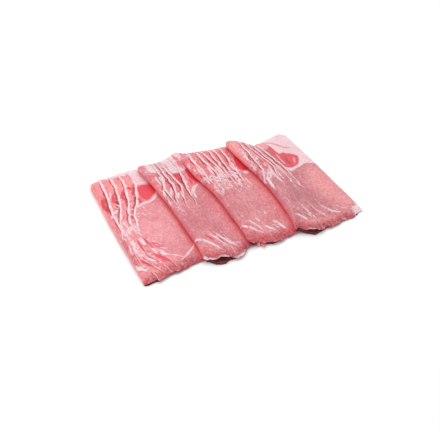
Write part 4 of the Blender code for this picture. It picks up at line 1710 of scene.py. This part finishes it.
class PorkTissue:
    """The group that all portions share: tissue and place in, colour, roughness and height out."""

    COLOURS = ("Lean", "Pale Lean", "Coral", "Red", "Deep Red", "Fat", "Grey Fat")
    SOCKETS = (
        ("INPUT", "Vector", ("Place",)),
        ("INPUT", "Color", ("Tissue", *COLOURS)),
        ("INPUT", "Float", ("Dark", "Blush")),
        ("OUTPUT", "Color", ("Color",)),
        ("OUTPUT", "Float", ("Roughness", "Height")),
    )
    # painted shade colour: the saturated red of shaded creases and front ends
    SHADE_RED = (0.86, 0.15, 0.17, 1.0)
    INSIDE = (0.17, 0.035, 0.040, 1.0)
    PER_METRE = (1 / MM,) * 3
    SWAY = (2.6,) * 3
    GRAIN_STRETCH = (1.0, 0.55, 1.0)
    CROSS_STRETCH = (0.35, 1.0, 1.0)
    ASIDE = (50.0, 20.0, 0.0)  # where the short veins are read, so that they differ from the long
    DRYNESS = (0.27, 0.3)  # roughness, and what the grain adds to it
    RIPPLE = 0.28

    def __init__(self) -> None:
        self.group = bpy.data.node_groups.new("pork_tissue", "ShaderNodeTree")
        for side, kind, names in self.SOCKETS:
            for name in names:
                self.group.interface.new_socket(name, in_out=side, socket_type=f"NodeSocket{kind}")
        self.bench = bench = Bench(self.group)
        self.given = bench.add("NodeGroupInput").outputs
        place = bench.scaled(self.given["Place"], self.PER_METRE)
        sway = bench.noise(place, 0.25, 3.0).outputs["Color"]
        swayed = bench.moved(place, bench.scaled(sway, self.SWAY))
        along_grain = bench.scaled(swayed, self.GRAIN_STRETCH)
        across_grain = bench.scaled(swayed, self.CROSS_STRETCH)
        self.broad = bench.noise(place, 0.055).outputs[0]
        self.ragged = bench.noise(place, 0.42, roughness=0.55).outputs[0]
        self.grain = bench.noise(along_grain, 0.55, 2.5).outputs[0]
        self.fine = bench.noise(place, 1.5).outputs[0]
        self.tone = bench.total(bench.times(self.broad, 0.4), bench.times(self.grain, 0.6))
        self.fibres = bench.less(1.0, bench.step(bench.cells(along_grain, 1.25), 0.0, 0.22))
        self.long_veins = bench.ridges(along_grain, 0.17, 0.02)
        self.short_veins = bench.ridges(bench.moved(along_grain, self.ASIDE), 0.42, 0.05)
        self.cross_veins = bench.ridges(across_grain, 0.3, 0.06)

    def lean(self) -> Socket:
        """The colour of lean meat: fine grain, with pale tissue drawn through it."""
        bench, given = self.bench, self.given
        lean = bench.blend(bench.step(self.tone, 0.36, 0.64), given["Lean"], given["Pale Lean"])
        lean = bench.tint(lean, given["Pale Lean"], bench.step(self.fine, 0.4, 0.7), 0.2)
        lean = bench.tint(lean, given["Fat"], self.fibres, 0.07)
        lean = bench.tint(lean, given["Fat"], self.short_veins, 0.11)
        veined = bench.times(self.long_veins, bench.step(self.broad, 0.4, 0.6))
        return bench.tint(lean, given["Fat"], veined, 0.34)

    def strip(self) -> Socket:
        """The colour of orange-pink strips, crossed by pale tissue."""
        bench, given = self.bench, self.given
        strip = bench.blend(bench.step(self.grain, 0.35, 0.62), given["Red"], given["Coral"])
        strip = bench.blend(0.65, strip, given["Coral"])
        strip = bench.tint(strip, given["Fat"], self.cross_veins, 0.36)
        return bench.tint(strip, given["Fat"], self.short_veins, 0.22)

    def strands(self) -> Socket:
        """The colour of red muscle and its darker strands."""
        bench, given = self.bench, self.given
        strands = bench.blend(bench.step(self.grain, 0.38, 0.66), given["Red"], given["Deep Red"])
        strands = bench.blend(0.68, strands, given["Red"])
        return bench.tint(strands, given["Coral"], self.short_veins, 0.2)

    def fat(self) -> Socket:
        """The colour of fat, here grey and there pink."""
        bench, given = self.bench, self.given
        fat = bench.blend(bench.step(self.tone, 0.42, 0.62), given["Fat"], given["Grey Fat"])
        return bench.tint(fat, given["Pale Lean"], self.short_veins, 0.25)

    def ragged_mask(self, amount: object, fine: object, soft: float) -> Socket:
        """A mask with a ragged border, where the amount passes a half.

        Args:
            amount: from 0 to 1, a half at the border.
            fine: noise for the small raggedness.
            soft: how soft the border is.

        Returns:
            The mask.
        """
        bench = self.bench
        wave = bench.less(self.ragged, 0.5)
        ripple = bench.times(bench.less(fine, 0.5), self.RIPPLE)
        torn = bench.total(amount, bench.total(wave, ripple))
        return bench.times(bench.step(torn, 0.5 - soft, 0.5 + soft), bench.step(amount, 0.02, 0.25))

    def build(self) -> bpy.types.NodeTree:
        """Lay the tissues over each other.

        Returns:
            The node group.
        """
        bench, given = self.bench, self.given
        split = bench.add("ShaderNodeSeparateColor")
        bench.feed(split.inputs[0], given["Tissue"])
        fat = self.ragged_mask(split.outputs[0], self.fine, 0.2)
        red = self.ragged_mask(split.outputs[1], self.fine, 0.24)
        coral = self.ragged_mask(split.outputs[2], self.grain, 0.45)
        dark = self.ragged_mask(given["Dark"], self.fine, 0.32)
        colour = bench.tint(self.lean(), self.strip(), coral, 0.85)
        colour = bench.tint(colour, self.strands(), red, 0.93)
        # painted shade: creases, steps and front ends in deep red
        colour = bench.tint(colour, given["Deep Red"], dark, 0.92)
        colour = bench.tint(colour, self.fat(), fat, 0.93)
        # painted shade: creases and the front ends take a saturated red where their shade falls
        lean_share = bench.less(0.8, bench.times(bench.math("MAXIMUM", fat, red), 0.6))
        colour = bench.tint(colour, self.SHADE_RED, given["Blush"], lean_share)
        # the inside of a fold gets no light
        colour = bench.blend(bench.step(given["Dark"], 1.1, 1.9), colour, self.INSIDE)
        roughness, dry = self.DRYNESS
        relief = bench.total(bench.times(self.grain, 0.13), bench.times(self.fine, 0.03))
        found = {
            "Color": colour,
            "Roughness": bench.total(roughness, bench.times(self.grain, dry)),
            "Height": bench.total(relief, bench.times(fat, 0.06)),
        }
        bench.feed_all(bench.add("NodeGroupOutput"), found)
        return self.group


class Studio:
    """The plain pale floor, the soft lights and the camera."""

    CAMERA_ELEVATION = math.radians(40)
    CAMERA_AZIMUTH = math.radians(-26.5)
    CAMERA_DISTANCE = 620 * MM
    TARGET = Vector((-18.384 * MM, -27.775 * MM, 0.0))
    LENS = 50.73
    SENSOR_WIDTH = 36
    NEAREST_SEEN = 0.01
    FLOOR_SIZE = 6
    FLOOR_COLOUR = (0.9, 0.9, 0.9, 1)
    FLOOR_ROUGHNESS = 0.9
    LIGHT_SIZE = 0.9
    LIGHTS = (("key", (0.18, 0.3, 0.8), 4.3), ("fill", (-0.9, -0.05, 0.5), 3.4))
    SKY = {"Color": (1, 1, 1, 1), "Strength": 0.74}

    def build(self) -> None:
        """Make floor, lights and camera."""
        self.floor()
        for name, place, power in self.LIGHTS:
            self.light(name, place, power)
        world = bpy.data.worlds.new("studio")
        bpy.context.scene.world = world
        world.use_nodes = True
        Bench(world.node_tree).feed_all(world.node_tree.nodes["Background"], self.SKY)
        self.camera()
        bpy.context.scene.view_settings.view_transform = "Standard"

    def floor(self) -> None:
        """Lay the pale floor."""
        bpy.ops.object.select_all(action="DESELECT")
        bpy.ops.mesh.primitive_plane_add(size=self.FLOOR_SIZE)
        floor = bpy.context.object
        floor.name = "floor"
        material = bpy.data.materials.new("pale_floor")
        material.use_nodes = True
        shader = material.node_tree.nodes["Principled BSDF"]
        shader.inputs["Base Color"].default_value = self.FLOOR_COLOUR
        shader.inputs["Roughness"].default_value = self.FLOOR_ROUGHNESS
        floor.data.materials.append(material)

    def light(self, name: str, place: tuple, power: float) -> None:
        """Hang one soft square light that looks at the row."""
        bpy.ops.object.light_add(type="AREA", location=place)
        light = bpy.context.object
        light.name = name
        light.data.size = self.LIGHT_SIZE
        light.data.energy = power
        light.rotation_euler = (-Vector(place)).to_track_quat("-Z", "Y").to_euler()

    def camera(self) -> None:
        """Set the camera where the photograph was taken from."""
        elevation, azimuth = self.CAMERA_ELEVATION, self.CAMERA_AZIMUTH
        level = math.cos(elevation)
        back = Vector((math.sin(azimuth) * level, -math.cos(azimuth) * level, math.sin(elevation)))
        bpy.ops.object.camera_add(location=self.TARGET + back * self.CAMERA_DISTANCE)
        camera = bpy.context.object
        camera.rotation_mode = "QUATERNION"
        camera.rotation_quaternion = (-back).to_track_quat("-Z", "Y")
        camera.data.lens = self.LENS
        camera.data.sensor_width = self.SENSOR_WIDTH
        camera.data.clip_start = self.NEAREST_SEEN
        bpy.context.scene.camera = camera


def sheets_of(portion: Portion) -> list:
    """All pieces of one portion, yet to be built."""
    reach = INNER_WRAP_REACH
    sheets = [
        WrapSheet(portion, 0),
        WrapSheet(portion, 0, reach, reach, share=INNER_WRAP_SHARE, inner=True),
    ]
    for number, reach in zip(range(1, portion.top_slice), FRONT_REACHES):
        sheets.append(SliceSheet(portion, number, front_reach=reach))
    sheets.append(SliceSheet(portion, portion.top_slice))
    if portion.number in SCRAPS:
        sheets.append(Fringe(portion, SCRAPS[portion.number]))
    return sheets


def main() -> None:
    """Build the portions in order, dress them and set the studio."""
    logging.basicConfig(level=logging.INFO, format="%(name)s: %(message)s")
    group = PorkTissue().build()
    portion = None
    for number, layout in enumerate(LAYOUTS, start=1):
        portion = Portion(number, layout, under=portion)
        material = FINISHES[number].material(group)
        for sheet in sheets_of(portion):
            piece = sheet.build()
            piece.data.materials.append(material)
            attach(piece, BODY)
            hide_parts(f"folded_slices_{number}")
            logger.info("%s: %d faces", piece.name, len(piece.data.polygons))
    Studio().build()


if __name__ == "__main__":
    main()
